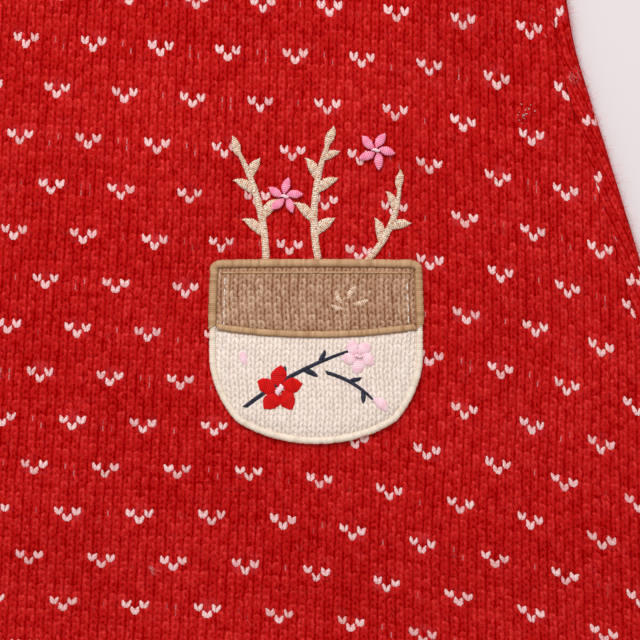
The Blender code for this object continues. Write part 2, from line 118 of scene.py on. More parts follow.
# Soft folds of the upper layer: (start x, start height, end x, end height, half width, rise)
FOLDS = (
    (0.146, 0.186, 0.182, 0.070, 0.0100, -0.0014),
    (0.163, 0.190, 0.204, 0.066, 0.0110, 0.0016),
    (0.092, 0.128, 0.120, 0.052, 0.0140, -0.0011),
    (0.024, 0.292, -0.010, 0.184, 0.0190, 0.0018),
    (0.086, 0.304, 0.124, 0.352, 0.0140, 0.0014),
    (0.112, 0.314, 0.142, 0.311, 0.0140, -0.0013),
    (0.144, 0.284, 0.146, 0.242, 0.0080, 0.0009),
    (0.157, 0.288, 0.158, 0.240, 0.0090, -0.0012),
    (0.142, 0.232, 0.1475, 0.186, 0.0085, -0.0017),
    (0.157, 0.246, 0.158, 0.196, 0.0080, 0.0011),
    (0.004, 0.139, 0.064, 0.136, 0.0220, -0.0016),
    (0.124, 0.136, 0.166, 0.133, 0.0180, -0.0012),
    (0.060, 0.030, 0.052, 0.128, 0.0150, 0.0013),
    (-0.030, 0.034, -0.036, 0.170, 0.0170, 0.0011),
    (-0.118, 0.040, -0.096, 0.205, 0.0160, 0.0016),
    (-0.182, 0.052, -0.146, 0.226, 0.0140, 0.0012),
    (0.142, 0.384, 0.084, 0.404, 0.0080, 0.0016),
    (-0.142, 0.386, -0.078, 0.398, 0.0085, 0.0019),
    (0.134, 0.404, 0.098, 0.446, 0.0075, 0.0012),
    (-0.136, 0.402, -0.104, 0.452, 0.0080, 0.0010),
    (0.176, 0.396, 0.226, 0.428, 0.0085, 0.0022),
    (-0.172, 0.394, -0.214, 0.436, 0.0080, 0.0019),
    (0.222, 0.352, 0.262, 0.388, 0.0080, 0.0018),
    (-0.230, 0.344, -0.262, 0.392, 0.0085, 0.0021),
    (0.268, 0.312, 0.296, 0.350, 0.0070, 0.0014),
    (-0.262, 0.318, -0.300, 0.340, 0.0070, 0.0015),
)
print(f"middle of the hem is at y = {HEM_MIDDLE * 1000:.1f} mm")

# %% [markdown]
# ## Reading the numbers
#
# A table gives a few sizes, and the cloth needs one at every stitch. `read` runs a smooth curve
# through a table. `upper` adds the soft folds to the height at which the top layer lies, and lets
# them fade out towards an edge, where the cloth has to roll down.


# %% Form helpers
def smooth(share):
    share = np.clip(share, 0, 1)
    return share * share * (3 - 2 * share)


def read(table, at, column):
    """A table's column at these places, on a smooth curve through its rows."""
    rows = np.array(sorted(table))
    key, value = rows[:, 0], rows[:, column]
    index = np.arange(len(key))
    before, after = np.maximum(index - 1, 0), np.minimum(index + 1, len(key) - 1)
    slope = (value[after] - value[before]) / (key[after] - key[before])
    k = np.clip(np.searchsorted(key, at, side="right") - 1, 0, len(key) - 2)
    span = key[k + 1] - key[k]
    s = np.clip((at - key[k]) / span, 0, 1)
    near = value[k] * (1 + 2 * s) * (1 - s) ** 2 + slope[k] * span * s * (1 - s) ** 2
    return near + value[k + 1] * s * s * (3 - 2 * s) + slope[k + 1] * span * s * s * (s - 1)


def joined(*values):
    """Values side by side in a last axis: x and y, or x, y and z, or the two stitch coordinates."""
    return np.stack(np.broadcast_arrays(*values), axis=-1)


def xy(plan):
    return plan[..., 0], plan[..., 1]


def between(a, b, share):
    share = np.asarray(share)[..., None]
    return np.asarray(a) + (np.asarray(b) - np.asarray(a)) * share


def unit(way):
    return way / np.linalg.norm(way, axis=-1, keepdims=True)


def turned_left(way):
    return joined(-way[..., 1], way[..., 0])


def way_at(angle):
    """The plan direction at this angle in radians, counterclockwise from +X."""
    return joined(np.cos(angle), np.sin(angle))


def far_along(points, axis=0):
    """How far along its line of points each one is."""
    steps = np.linalg.norm(np.diff(points, axis=axis), axis=-1)
    return np.concatenate((0 * steps.take([0], axis), np.cumsum(steps, axis=axis)), axis=axis)


def place_on(line, along, at):
    """Places on a line of points that lie this far along it."""
    return joined(*(np.interp(at, along, column) for column in np.transpose(line)))


def both_halves(right):
    """Rows of plan points from left to right, from rows that start at the middle."""
    return np.concatenate((right[:, :0:-1] * (-1, 1), right), axis=1)


def fine_ends(count, length):
    """Shares of a length, even in the middle and close together at both ends, where seams dip."""
    near = np.array(NEAR_SEAMS) / length
    middle = np.linspace(near[-1], 1 - near[-1], count)
    return np.concatenate(([0], near[:-1], middle, 1 - near[-2::-1], [1]))


def drawn_down(from_seam):
    return -SEAM_DEPTH * np.exp(-((from_seam / SEAM_REACH) ** 2))


def half_width(height):
    return read(SIDE, height, 1)


def strip_width(height):
    return read(SIDE, height, 2)


def hem_line(x):
    return -HEM_DIP * (x / SIDE[0][1]) ** 2


def shoulder_line(x):
    slope = (SHOULDER_TIP[1] - NECK_CORNER[1]) / (SHOULDER_TIP[0] - NECK_CORNER[0])
    return NECK_CORNER[1] + slope * (np.maximum(x, NECK_CORNER[0]) - NECK_CORNER[0])


def folds(x, y):
    """What the soft folds and the cloth's own unevenness add to the upper layer."""
    waves = np.sin(x / 0.0083 + 1.7 * np.sin(y / 0.031)) * np.sin(y / 0.0127 + x / 0.043)
    total = UNEVENNESS * waves
    for x0, y0, x1, y1, width, rise in FOLDS:
        length = np.hypot(x1 - x0, y1 - y0)
        along = ((x - x0) * (x1 - x0) + (y - y0) * (y1 - y0)) / length
        aside = ((x - x0) * (y1 - y0) - (y - y0) * (x1 - x0)) / length
        past = np.maximum(np.maximum(-along, along - length), 0)
        total = total + rise * np.exp(-((aside / width) ** 2) - (past / (1.6 * width)) ** 2)
    return total


def upper(x, y, from_edge):
    """Outer face of the upper layer, this far from the edge where it rolls down."""
    return TOP + (LOFT + folds(x, y)) * smooth(from_edge / LOFT_REACH)


def body_upper(x, y):
    low = half_width(y) - np.abs(x)
    aside = read(ARMHOLE, np.minimum(y, SHOULDER_TIP[1]), 1) - np.abs(x) + ARMHOLE_EASE
    below = shoulder_line(np.abs(x)) - y
    return upper(x, y, np.where(y > UNDERARM, np.minimum(aside, below), low))


# %% [markdown]
# ## Where each stitch lies
#
# Jersey is a grid of V-shaped stitches: columns are called wales, and rows are called courses.
# The finish is drawn in stitches, so every piece of cloth gets a UV map whose unit is one stitch.
# On the body the wales fan out towards the hem and lean a little, as a tube of single jersey does
# when its yarn untwists, and the courses sag towards the side seams because the A-line spreads
# them. Round the pocket and near the side the knit is pulled out of line a little, and each such
# place is a soft hump.

# %% Stitch coordinates
REPEAT_WALES, REPEAT_COURSES = 8, 7  # stitches in one repeat of the flecks
FIRST_WALE, FIRST_COURSE, KNIT_SHIFT = 1.5, 1.19, 0.0002  # where the pattern starts
WALE_AT_HEM, WALE_TAPER = 0.0031686, 0.001112  # a wale's width at the hem, its loss per metre
WALE_START, WALE_LEAN = 0.00702, 0.0499  # where the first wale is, and how they lean
REPEAT_AT_TOP, REPEAT_CHANGE = 0.0163, 0.05667  # height of seven courses, its change upwards
REPEAT_HEIGHT = 0.32830  # where that first size is measured
TILT, TILT_MIDDLE = 0.055, 0.0024  # how courses climb to the right, and where they don't
SAG, SAG_WIDTH = 0.00733, 0.08767  # how far courses drop towards the sides, over this width
SAG_START, SAG_SPREAD = 0.0239, 0.132  # where that drop starts, and how it moves out upwards
HEM_HOLD = 0.12  # height over which the hem still draws the courses along itself
# Where the knit is pulled: (x, height, half width, half height, moved sideways, moved up)
PULLS = (
    (0.128, 0.232, 0.026, 0.050, 0.0017, 0.0000),
    (0.020, 0.264, 0.018, 0.026, 0.0012, -0.0009),
    (0.044, 0.308, 0.034, 0.030, 0.0003, -0.0010),
    (0.136, 0.303, 0.014, 0.020, 0.0000, -0.0013),
    (0.156, 0.315, 0.012, 0.020, 0.0010, 0.0006),
    (0.150, 0.233, 0.010, 0.016, 0.0006, 0.0008),
    (0.050, 0.176, 0.034, 0.024, 0.0006, 0.0018),
    (0.112, 0.158, 0.026, 0.022, -0.0009, -0.0003),
    (0.158, 0.180, 0.016, 0.040, -0.0013, 0.0000),
    (0.147, 0.336, 0.022, 0.013, -0.0004, 0.0019),
)


def knit_body(x, y):
    """(wale, course) at a place on the front. The flecks repeat every 8 wales and 7 courses."""
    across, up = KNIT_SHIFT, 0.0
    for middle_x, middle_y, wide, high, sideways, upwards in PULLS:
        hump = np.exp(-(((x - middle_x) / wide) ** 2) - ((y - middle_y) / high) ** 2)
        across, up = across + sideways * hump, up + upwards * hump
    x, y = x - across, y - up
    drop = np.maximum(np.abs(x) - SAG_START - SAG_SPREAD * y, 0) / SAG_WIDTH
    free = TILT * (x + TILT_MIDDLE) + SAG * drop**2
    hold = smooth(y / HEM_HOLD)
    height = y + free * hold - hem_line(x) * (1 - hold)
    # Repeats of steadily changing height, in millimetres, fill the way down to this height.
    first, down = 1000 * REPEAT_AT_TOP, 1000 * (REPEAT_HEIGHT - height)
    repeats = (first - np.sqrt(first * first - 4 * REPEAT_CHANGE * down)) / (2 * REPEAT_CHANGE)
    wale = (x + WALE_START - WALE_LEAN * y) / (WALE_AT_HEM - WALE_TAPER * y) + FIRST_WALE
    return joined(wale, FIRST_COURSE - REPEAT_COURSES * repeats)


print("front at its middle:", knit_body(np.array([0.0]), np.array([0.25])).round(2))

# %% [markdown]
# ## From rows of points to cloth
#
# Every panel is a grid of points worked out by the form helpers. `sheet` makes it a mesh with its
# UV map, and `finish_cloth` does what one would do by hand in the modifier tab: a Solidify wall
# hung inwards from the outer face, applied, and shading that stays smooth except at the cut
# edges.


# %% Cloth helpers
WELD = 0.00002  # points nearer than this are one point


def only(obj):
    """Selects this object and nothing else."""
    bpy.ops.object.select_all(action="DESELECT")
    obj.select_set(True)
    bpy.context.view_layer.objects.active = obj


def grid_faces(rows, columns, closed=False, flip=False):
    """Corner numbers of the faces between rows of points. A closed grid joins its ends."""
    r, c = np.meshgrid(np.arange(rows - 1), np.arange(columns - (not closed)), indexing="ij")
    here, there = r * columns + c, r * columns + (c + 1) % columns
    quads = joined(here, there, there + columns, here + columns).reshape(-1, 4)
    return quads[:, ::-1] if flip else quads


def grid_uv(knit, flip):
    """The stitch coordinates of each face corner, in the order of grid_faces."""
    quads = np.stack((knit[:-1, :-1], knit[:-1, 1:], knit[1:, 1:], knit[1:, :-1]), axis=2)
    quads = quads.reshape(-1, 4, 2)
    return quads[:, ::-1] if flip else quads


def new_object(name, points, faces, uv=None):
    """A mesh object. Its heights are measured from the middle of the hem."""
    mesh = bpy.data.meshes.new(name)
    mesh.from_pydata((points.reshape(-1, 3) + (0, HEM_MIDDLE, 0)).tolist(), [], faces)
    if uv is not None:
        layer = mesh.uv_layers.new(name="stitches")
        layer.data.foreach_set("uv", uv.astype(np.float32).ravel())
    mesh.update()
    obj = bpy.data.objects.new(name, mesh)
    bpy.context.scene.collection.objects.link(obj)
    return obj


def sheet(name, grids):
    """One mesh from grids of (points, stitches, closed, whether its first faces look up)."""
    points, faces, uv, count = [], [], [], 0
    for spots, knit, closed, up in grids:
        across, along = spots[:-1, 1] - spots[:-1, 0], spots[1:, 0] - spots[:-1, 0]
        flip = (np.cross(across, along)[:, 2].sum() > 0) != up
        faces.append(grid_faces(*spots.shape[:2], closed, flip) + count)
        uv.append(grid_uv(knit, flip))
        points.append(spots.reshape(-1, 3))
        count += spots.shape[0] * spots.shape[1]
    points, faces, uv = (np.concatenate(rows) for rows in (points, faces, uv))
    return new_object(name, points, faces.tolist(), uv)


def finish_cloth(obj, wall=WALL, weld=False):
    only(obj)
    if weld:
        bpy.ops.object.mode_set(mode="EDIT")
        bpy.ops.mesh.select_all(action="SELECT")
        bpy.ops.mesh.remove_doubles(threshold=WELD)
        bpy.ops.object.mode_set(mode="OBJECT")
    solidify = obj.modifiers.new("wall", "SOLIDIFY")
    solidify.thickness = wall
    solidify.offset = -1
    solidify.use_even_offset = False
    bpy.ops.object.modifier_apply(modifier=solidify.name)
    bpy.ops.object.shade_smooth_by_angle(angle=radians(60))
    print(obj.name, "has", len(obj.data.polygons), "faces")
    return obj


# %% [markdown]
# ## Front and back
#
# Both panels fill four curved edges: hem, two sides, and the line of neck and shoulders. A Coons
# patch does that: it blends the edges inwards, so the grid lines run with the cloth. The front
# lies on top. The back lies flat underneath and rolls round the sides and shoulders onto the
# front, because a knit dress is seldom laid exactly on its seams. Both edges of a seam are drawn
# down a little, as the linking thread pulls them in.

# %% Panels
NECK_SHARE, NECK_COLUMNS = NECK_CORNER[0] / SHOULDER_TIP[0], 48
PANEL_LENGTH, SIDE_WIDTH = 0.49, 0.085
at_side = fine_ends(26, SIDE_WIDTH)[np.r_[0, 4:34]]
under_neck = np.linspace(0, NECK_SHARE, NECK_COLUMNS)[:-1]
COLUMNS = np.concatenate((under_neck, NECK_SHARE + (1 - NECK_SHARE) * at_side))
SHOULDER_WAY = unit(SHOULDER_TIP - NECK_CORNER)
SHOULDER_OUT = turned_left(SHOULDER_WAY)


def shoulder_point(share, inset):
    s = (np.asarray(share) - NECK_SHARE) / (1 - NECK_SHARE)
    return between(NECK_CORNER, SHOULDER_TIP, s) - SHOULDER_OUT * inset


def neck_line(corner, drop, shares=COLUMNS[:NECK_COLUMNS] / NECK_SHARE):
    return joined(corner[0] * shares, corner[1] - drop * (1 - shares**NECK_ROUNDING))


def hem_corner(rise, inset):
    """Half width where the line this far above the hem meets the side, moved inwards."""
    half = SIDE[0][1]
    for _ in range(8):
        y = hem_line(half) + rise
        half = half_width(y) - inset(y)
    return float(half)


def panel(inset, shoulder_inset, neck_drop, shares):
    """Plan points of a whole panel, rows from hem to shoulder and columns from left to right."""
    half = hem_corner(HEM_HEIGHT, inset)
    foot = joined(COLUMNS * half, hem_line(COLUMNS * half) + HEM_HEIGHT)
    head = np.concatenate(
        (
            neck_line(shoulder_point(NECK_SHARE, shoulder_inset), neck_drop),
            shoulder_point(COLUMNS[NECK_COLUMNS:], shoulder_inset),
        )
    )
    y = foot[-1, 1] + shares * (head[-1, 1] - foot[-1, 1])
    x = np.where(y < UNDERARM, half_width(y) - inset(y), read(ARMHOLE, y, 1))
    side = joined(x, y)
    side[0], side[-1] = foot[-1], head[-1]
    s, t = shares[:, None, None], COLUMNS[None, :, None]
    middle = joined(0 * shares, foot[0, 1] + shares * (head[0, 1] - foot[0, 1]))
    flat = (1 - s) * ((1 - t) * foot[0] + t * foot[-1]) + s * ((1 - t) * head[0] + t * head[-1])
    right = (1 - t) * middle[:, None] + t * side[:, None] + (1 - s) * foot + s * head - flat
    return both_halves(right)


def seam_dip(plan):
    """How far a panel is drawn down beside its edges."""
    x, y = xy(plan)
    aside = np.abs(x[:, -1:]) - np.abs(x)
    near = np.minimum(aside, np.minimum(y - y[:1], y[-1:] - y))
    return drawn_down(near)


CLOSED_GAP, SLIT_GAP, SLIT_REACH = 0.00005, 0.0003, 0.0022
SLITS = (0.018, 0.071, 0.118, 0.152, 0.187, 0.214, 0.262, 0.306, 0.313, 0.349)


def seam_gap(y):
    """The linked seam is closed but for a few slits where a stitch pulls."""
    y = np.asarray(y)[..., None]
    near = np.exp(-(((y - np.array(SLITS)) / SLIT_REACH) ** 2))
    return CLOSED_GAP + SLIT_GAP * near.sum(axis=-1)


plan = panel(
    lambda y: strip_width(y) + seam_gap(y),
    SHOULDER_ROLL + SHOULDER_GAP,
    FRONT_NECK_DROP - SHOULDER_ROLL,
    fine_ends(172, PANEL_LENGTH),
)
front_z = body_upper(*xy(plan)) + seam_dip(plan)
front_points = joined(*xy(plan), front_z)
front_knit = knit_body(*xy(plan))
front = finish_cloth(sheet("cloth_front", [(front_points, front_knit, False, True)]))

# %% [markdown]
# The back's stitches go on round the roll. On the strip that shows from the front, they lean the
# other way: the strip is the back panel seen in a mirror that stands on the fold, so its stitch
# coordinates are those of the mirrored place.


# %% The back and its rolled edges
BACK_START = (3.0, 9.4)  # how far on in the pattern it is


def knit_back(x, y):
    """The back's stitches, as on the front but seen from the other side."""
    return knit_body(-x, y) + BACK_START


def fold(edge, outward, turn):
    """Rows of outer points round a fold, outermost at edge. turn goes from 0 below to pi on top."""
    spot = edge[:, None] + outward[:, None] * (TURN * (np.sin(turn) - 1))[None, :, None]
    return joined(*xy(spot), TURN * (1 - np.cos(turn)))


HALF_TURN = np.linspace(0, pi, 9)


def rolled_strip(sign, edge, outward, inner, share, flat_edge):
    """Points of cloth that rolls round an edge onto the front, and how far round each one is."""
    rolled = fold(edge * (sign, 1), outward * (sign, 1), HALF_TURN)
    rolled[:, 0] = flat_edge
    start = edge - outward * TURN
    width = np.linalg.norm(inner - start, axis=-1)[:, None]
    line = start[:, None] + (inner - start)[:, None] * share[None, :, None]
    z = body_upper(*xy(line)) + drawn_down((1 - share) * width)
    on_top = joined(sign * line[..., 0], line[..., 1], z)
    round_it = np.tile(TURN * HALF_TURN, (len(edge), 1))
    beyond = np.concatenate((round_it, pi * TURN + width * share), axis=1)
    return np.concatenate((rolled, on_top), axis=1), start, beyond


back_shares = fine_ends(86, PANEL_LENGTH)
back_plan = panel(lambda y: TURN, TURN, BACK_NECK_DROP - TURN, back_shares)
flat_back = joined(*xy(back_plan), 0.0)
grids = [(flat_back, knit_back(*xy(back_plan)), False, False)]
for sign, column in ((1, -1), (-1, 0)):
    height = flat_back[:, column, 1]
    rows = np.append(np.flatnonzero(height < UNDERARM), (height < UNDERARM).sum())
    height = height[rows]
    half = half_width(height)
    edge = joined(half, height)
    outward = np.tile((1.0, 0.0), (len(rows), 1))
    inner = joined(half - strip_width(height), height)
    share, at_edge = np.linspace(0, 1, 5)[1:], flat_back[rows, column]
    spots, start, beyond = rolled_strip(sign, edge, outward, inner, share, at_edge)
    spots[0, :, 1] = hem_line(spots[0, :, 0]) + HEM_HEIGHT
    slope = np.gradient(half, height)[:, None]
    across = start[:, :1] + beyond / (1 + slope**2)
    past = np.maximum(beyond - pi * TURN / 2, 0)
    up = height[:, None] - past * 2 * slope / (1 + slope**2)
    grids.append((spots, knit_back(sign * across, up), False, False))

shoulder = COLUMNS[NECK_COLUMNS - 1 :]
edge, inner = shoulder_point(shoulder, 0.0), shoulder_point(shoulder, SHOULDER_ROLL)
outward = np.tile(SHOULDER_OUT, (len(shoulder), 1))
for sign in (1, -1):
    columns = slice(-len(shoulder), None) if sign > 0 else slice(len(shoulder) - 1, None, -1)
    share, at_edge = np.array((0.33, 0.66, 1.0)), flat_back[-1, columns]
    spots, start, beyond = rolled_strip(sign, edge, outward, inner, share, at_edge)
    far = start[:, None] + SHOULDER_OUT * beyond[..., None]
    grids.append((spots, knit_back(sign * far[..., 0], far[..., 1]), False, False))
back = finish_cloth(sheet("cloth_back", grids), weld=True)

# %% [markdown]
# ## Tubes: sleeves and rib bands
#
# Sleeves, cuffs, hem rib and neckband are tubes pressed flat. One ring of such a tube goes over
# the top, round one fold, back underneath, and round the other fold. `flat_tube` builds the rings
# from the two folds and the line between them. It also measures each ring, because the wales are
# counted along it. A rib band gets its ribs in the mesh, so that its free edge is wavy too.


# %% Flat tubes
WALE, COURSE = 0.0029, 0.00233  # size of a stitch on the sleeves and bands
RIB_PITCH, NECK_PITCH, RIB_DEPTH = 0.0056, 0.0050, 0.0007


def flat_tube(left, right, out_left, out_right, line, below, height):
    """Rings of points and how far along its ring each one is, counted from the left fold."""
    over = joined(line[:, ::-1, 0], line[:, ::-1, 1], height[:, ::-1])
    under = joined(*xy(below), 0.0)
    turn = HALF_TURN[1:-1]
    folded = fold(left, out_left, turn[::-1]), fold(right, out_right, turn)
    rings = np.concatenate((over, folded[0], under, folded[1]), axis=1)
    along = far_along(np.concatenate((rings, rings[:, :1]), axis=1), 1)
    at_left = line.shape[1] + 3
    return rings, along - along[:, at_left : at_left + 1]


def ribbed(rings, girth, pitch):
    """Sinks the recesses between ribs into a tube, whole ribs all round, and counts the ribs."""
    total = (girth[:, -1:] - girth[:, :1]).mean()
    ribs = girth / (girth[:, -1:] - girth[:, :1]) * round(total / pitch)
    around = np.roll(rings, -1, axis=1) - np.roll(rings, 1, axis=1)
    outward = unit(np.cross(around, np.gradient(rings, axis=0)))
    outward *= np.sign(outward[:, :1, 2:])
    sink = RIB_DEPTH * (0.5 - 0.5 * np.cos(2 * pi * ribs[:, :-1]))
    return rings - outward * sink[..., None], ribs


def dipped(rings, from_ends):
    """Draws the upper layer down at the seams, which are this far from each ring."""
    rings[..., 2] += drawn_down(from_ends[:, None]) * smooth(rings[..., 2] / TOP)
    return rings


def rib_band(name, tube, from_seams, up, pitch=RIB_PITCH):
    """A band from its rings and girth. up is how far up it each ring is."""
    rings, ribs = ribbed(*tube, pitch)
    grid = (dipped(rings, from_seams), joined(ribs, up[:, None] / COURSE), True, True)
    return finish_cloth(sheet(name, [grid]))


# %% Sleeves
SLEEVE_LENGTH, CAP_OUT, SLEEVE_START = 0.33, 0.00015, 0.4
arm = np.array([(x, y) for y, x in ARMHOLE[::-1]])
arm_share = (arm[0, 1] - arm[:, 1]) / (arm[0, 1] - arm[-1, 1])
arm_way = unit(arm[2:] - arm[:-2])
straight = between(SLEEVE[0][1:3], SLEEVE[0][3:5], arm_share[1:-1])
bend = arm[1:-1] + CAP_OUT * turned_left(arm_way) - straight
CAP = [[0, 0, 0], *np.column_stack((arm_share[1:-1], bend)).tolist(), [1, 0, 0]]


def sleeve_tube(top, low, columns, sign, cap_left=0.0):
    """Rings between these folds of a left sleeve, or with sign -1 of a right one."""
    down = unit(low - top)
    inset = TURN / np.linalg.norm(low - top, axis=-1)[:, None]
    share = inset + columns * (1 - 2 * inset)
    curve = joined(read(CAP, share, 1), read(CAP, share, 2))
    line = top[:, None] + (low - top)[:, None] * share[..., None] + curve * cap_left
    near = [np.linalg.norm(line - edge[:, None], axis=-1) for edge in (top, low)]
    height = upper(sign * line[..., 0], line[..., 1], np.minimum(*near))
    rings, girth = flat_tube(top, low, -down, down, line, line, height)
    return rings * (sign, 1, 1), girth


sleeve_rows = 10 * fine_ends(96, SLEEVE_LENGTH)
fold_top, fold_low = (
    joined(read(SLEEVE, sleeve_rows, k), read(SLEEVE, sleeve_rows, k + 1)) for k in (1, 3)
)
cap_left = (1 - smooth(sleeve_rows / 10 / CAP_REACH))[:, None, None]
down_sleeve = far_along((fold_top + fold_low) / 2)
from_seams = np.minimum(down_sleeve, down_sleeve[-1] - down_sleeve)


def sleeve_knit(rings):
    """Stitches of a left sleeve: its wales run straight down it, whatever way the rings slant."""
    axis = unit((fold_top + fold_low)[-1] - (fold_top + fold_low)[0])
    plan = np.concatenate((rings, rings[:, :1]), axis=1)
    down = plan[..., :2] @ axis
    steps = np.linalg.norm(np.diff(plan, axis=1), axis=-1)
    steps = np.sqrt(np.maximum(steps**2 - np.diff(down, axis=1) ** 2, 0))
    around = np.concatenate((np.zeros((len(rings), 1)), np.cumsum(steps, axis=1)), axis=1)
    start = rings[:, 0, :2] @ turned_left(axis)  # where each ring's first point lies across
    up = SLEEVE_START - (down - down[0].mean()) / COURSE
    return joined((start[:, None] + around) / WALE, up)


SIDES = (("left", 1), ("right", -1))
sleeves = {}
for side, sign in SIDES:
    rings, _ = sleeve_tube(fold_top, fold_low, np.linspace(0, 1, 50), sign, cap_left)
    grid = (dipped(rings, from_seams), sleeve_knit(rings * (sign, 1, 1)), True, True)
    sleeves[side] = finish_cloth(sheet("cloth_sleeve_" + side, [grid]))

# %% Cuffs
cuffs = {}
cuff_rows = fine_ends(12, CUFF_LENGTH)
end_top, end_low = np.array(SLEEVE[-1][1:3]), np.array(SLEEVE[-1][3:5])
across = unit(end_low - end_top)
onward = turned_left(across)
reach = BAND_GAP + (CUFF_LENGTH - BAND_GAP) * cuff_rows
drawn_in = across * CUFF_INSET * smooth(cuff_rows * 2)[:, None]
tops, lows = (end + onward * reach[:, None] for end in (end_top, end_low))
from_seams = np.minimum(cuff_rows, 1 - cuff_rows) * CUFF_LENGTH
for side, sign in SIDES:
    tube = sleeve_tube(tops + drawn_in, lows - drawn_in, np.linspace(0, 1, 110), sign)
    cuffs[side] = rib_band("rib_cuff_" + side, tube, from_seams, -reach)

# %% Hem rib
def body_band(name, ends, out, line, below, from_seams, up, pitch=RIB_PITCH):
    """A band that is the same on both sides, from its right folds and the lines across it."""
    out, top = np.tile(out, (len(ends), 1)), body_upper(*xy(line))
    tube = flat_tube(ends * (-1, 1), ends, out * (-1, 1), out, line, below, top)
    return rib_band(name, tube, from_seams, up, pitch)


rises = fine_ends(7, HEM_HEIGHT) * (HEM_HEIGHT - BAND_GAP)
halves = np.array([hem_corner(rise, lambda y: 0.0) for rise in rises])
x = np.linspace(-1, 1, 540) * (halves - TURN)[:, None]
line = joined(x, hem_line(x) + rises[:, None])
ends = joined(halves, hem_line(halves) + rises)
from_seams = np.minimum(rises, rises[-1] - rises)
hem = body_band("rib_hem", ends, (1.0, 0.0), line, line, from_seams, rises)

# %% Neckband
# Its fold goes on along the shoulder line, so its free edge is narrower than its seam.
band_rows = fine_ends(4, BAND_WIDTH)
on_line = -SHOULDER_WAY
NECK_GAP = 2 * BAND_GAP
seam_corner, free_corner = NECK_CORNER + on_line * NECK_GAP, NECK_CORNER + on_line * BAND_WIDTH
band_shares = np.linspace(0, 1, 80)


def band_line(inset, seam_drop, free_drop):
    """Rows of points from the seam to the free edge, from left to right."""
    seam = neck_line(seam_corner - SHOULDER_OUT * inset, seam_drop - inset, band_shares)
    free = neck_line(free_corner - SHOULDER_OUT * inset, free_drop - inset, band_shares)
    return both_halves(seam + (free - seam) * band_rows[:, None, None])


line = band_line(SHOULDER_ROLL, FRONT_NECK_DROP - NECK_GAP, BAND_FRONT_DROP)
below = band_line(TURN, BACK_NECK_DROP - NECK_GAP, BAND_BACK_DROP)
corners = between(seam_corner, free_corner, band_rows)
up, from_seams = band_rows * BAND_WIDTH, np.minimum(band_rows, 1 - band_rows) * BAND_WIDTH
neckband = body_band("rib_neck", corners, SHOULDER_OUT, line, below, from_seams, up, NECK_PITCH)

# %% [markdown]
# ## The patch pocket
#
# The pocket is a rounded U with a brown yoke over a cream lower part, both in plain jersey. It
# lies on the front, so its points come from the front's own form, moved out. Each part swells a
# little between the seams that hold it down.

# %% Pocket parts
POCKET_CENTRE, POCKET_HALF = np.array((0.0727, 0.2255)), np.array((0.0337, 0.0289))
POCKET_WALL, JOIN, JOIN_SAG = 0.0016, 0.30, 0.0030
FOOT_ROUNDING, MOUTH_ROUNDING = 0.86, 0.10
POCKET_WALE, POCKET_COURSE = 0.00285, 0.00198
POCKET_RISE, POCKET_WAVE, POCKET_SLACK = 0.029, 0.0003, 0.0002
# How far each part swells, and how near the edge it starts to rise and is still sunk
SWELL_HEIGHT, SWELL_REACH, SINK_REACH, EDGE_SCALE = 0.0004, 0.005, 0.0011, 0.031
ON_FRONT = 0.0003  # gap under what lies on the front


def pocket_point(across, up):
    """Plan points of the pocket from places in a square, -1 to 1 each way."""
    across, up = np.broadcast_arrays(np.asarray(across, float), np.asarray(up, float))
    rounding = FOOT_ROUNDING + (MOUTH_ROUNDING - FOOT_ROUNDING) * smooth(up + 0.5)
    x = across * np.sqrt(1 - rounding * up * up / 2)
    y = up * np.sqrt(1 - rounding * across * across / 2)
    sag = -JOIN_SAG * (1 - across * across) * np.exp(-(((up - JOIN) / 0.5) ** 2))
    return POCKET_CENTRE + POCKET_HALF * joined(x, y) + joined(0 * sag, sag)


def pocket_part(name, low, high, rows):
    ends = fine_ends(rows, POCKET_RISE * (high - low))
    across, up = np.linspace(-1, 1, 66), low + (high - low) * ends[:, None]
    x, y = np.moveaxis(pocket_point(across, up), -1, 0)
    inside = np.minimum(1 - np.abs(across), np.minimum(up - low, high - up)) * EDGE_SCALE
    swell = smooth(inside / SWELL_REACH) - np.exp(-((inside / SINK_REACH) ** 2))
    z = body_upper(x, y) + ON_FRONT + POCKET_WALL + SWELL_HEIGHT * swell
    wave = POCKET_WAVE * np.sin(y / 0.004)
    knit = joined((x - wave) / POCKET_WALE, y / POCKET_COURSE)
    cloth = sheet(name, [(joined(x, y, z), knit, False, True)])
    return finish_cloth(cloth, POCKET_WALL - POCKET_SLACK)


JOIN_GAP = 0.002
yoke = pocket_part("pocket_yoke_knit", JOIN + JOIN_GAP, 1.0, 22)
face = pocket_part("pocket_face_knit", -1.0, JOIN - JOIN_GAP, 34)

# %% [markdown]
# ## Thread
#
# Every line and motif on the pocket is machine embroidery: shiny thread laid side by side, across
# a line or a leaf. Modelling each thread would cost thousands of faces. A tube whose section
# follows a spine, with a small ridge for each thread, gives the same look for far fewer. The
# tube's UV map counts the threads, so the finish can vary from one thread to the next.


# %% One tube of laid threads
PITCH, RIDGE, RAGGED = 0.0006, 0.00006, 0.07  # between threads, their relief, their uneven ends


def at_shares(values, share):
    return np.interp(share, np.linspace(0, 1, len(values)), values)


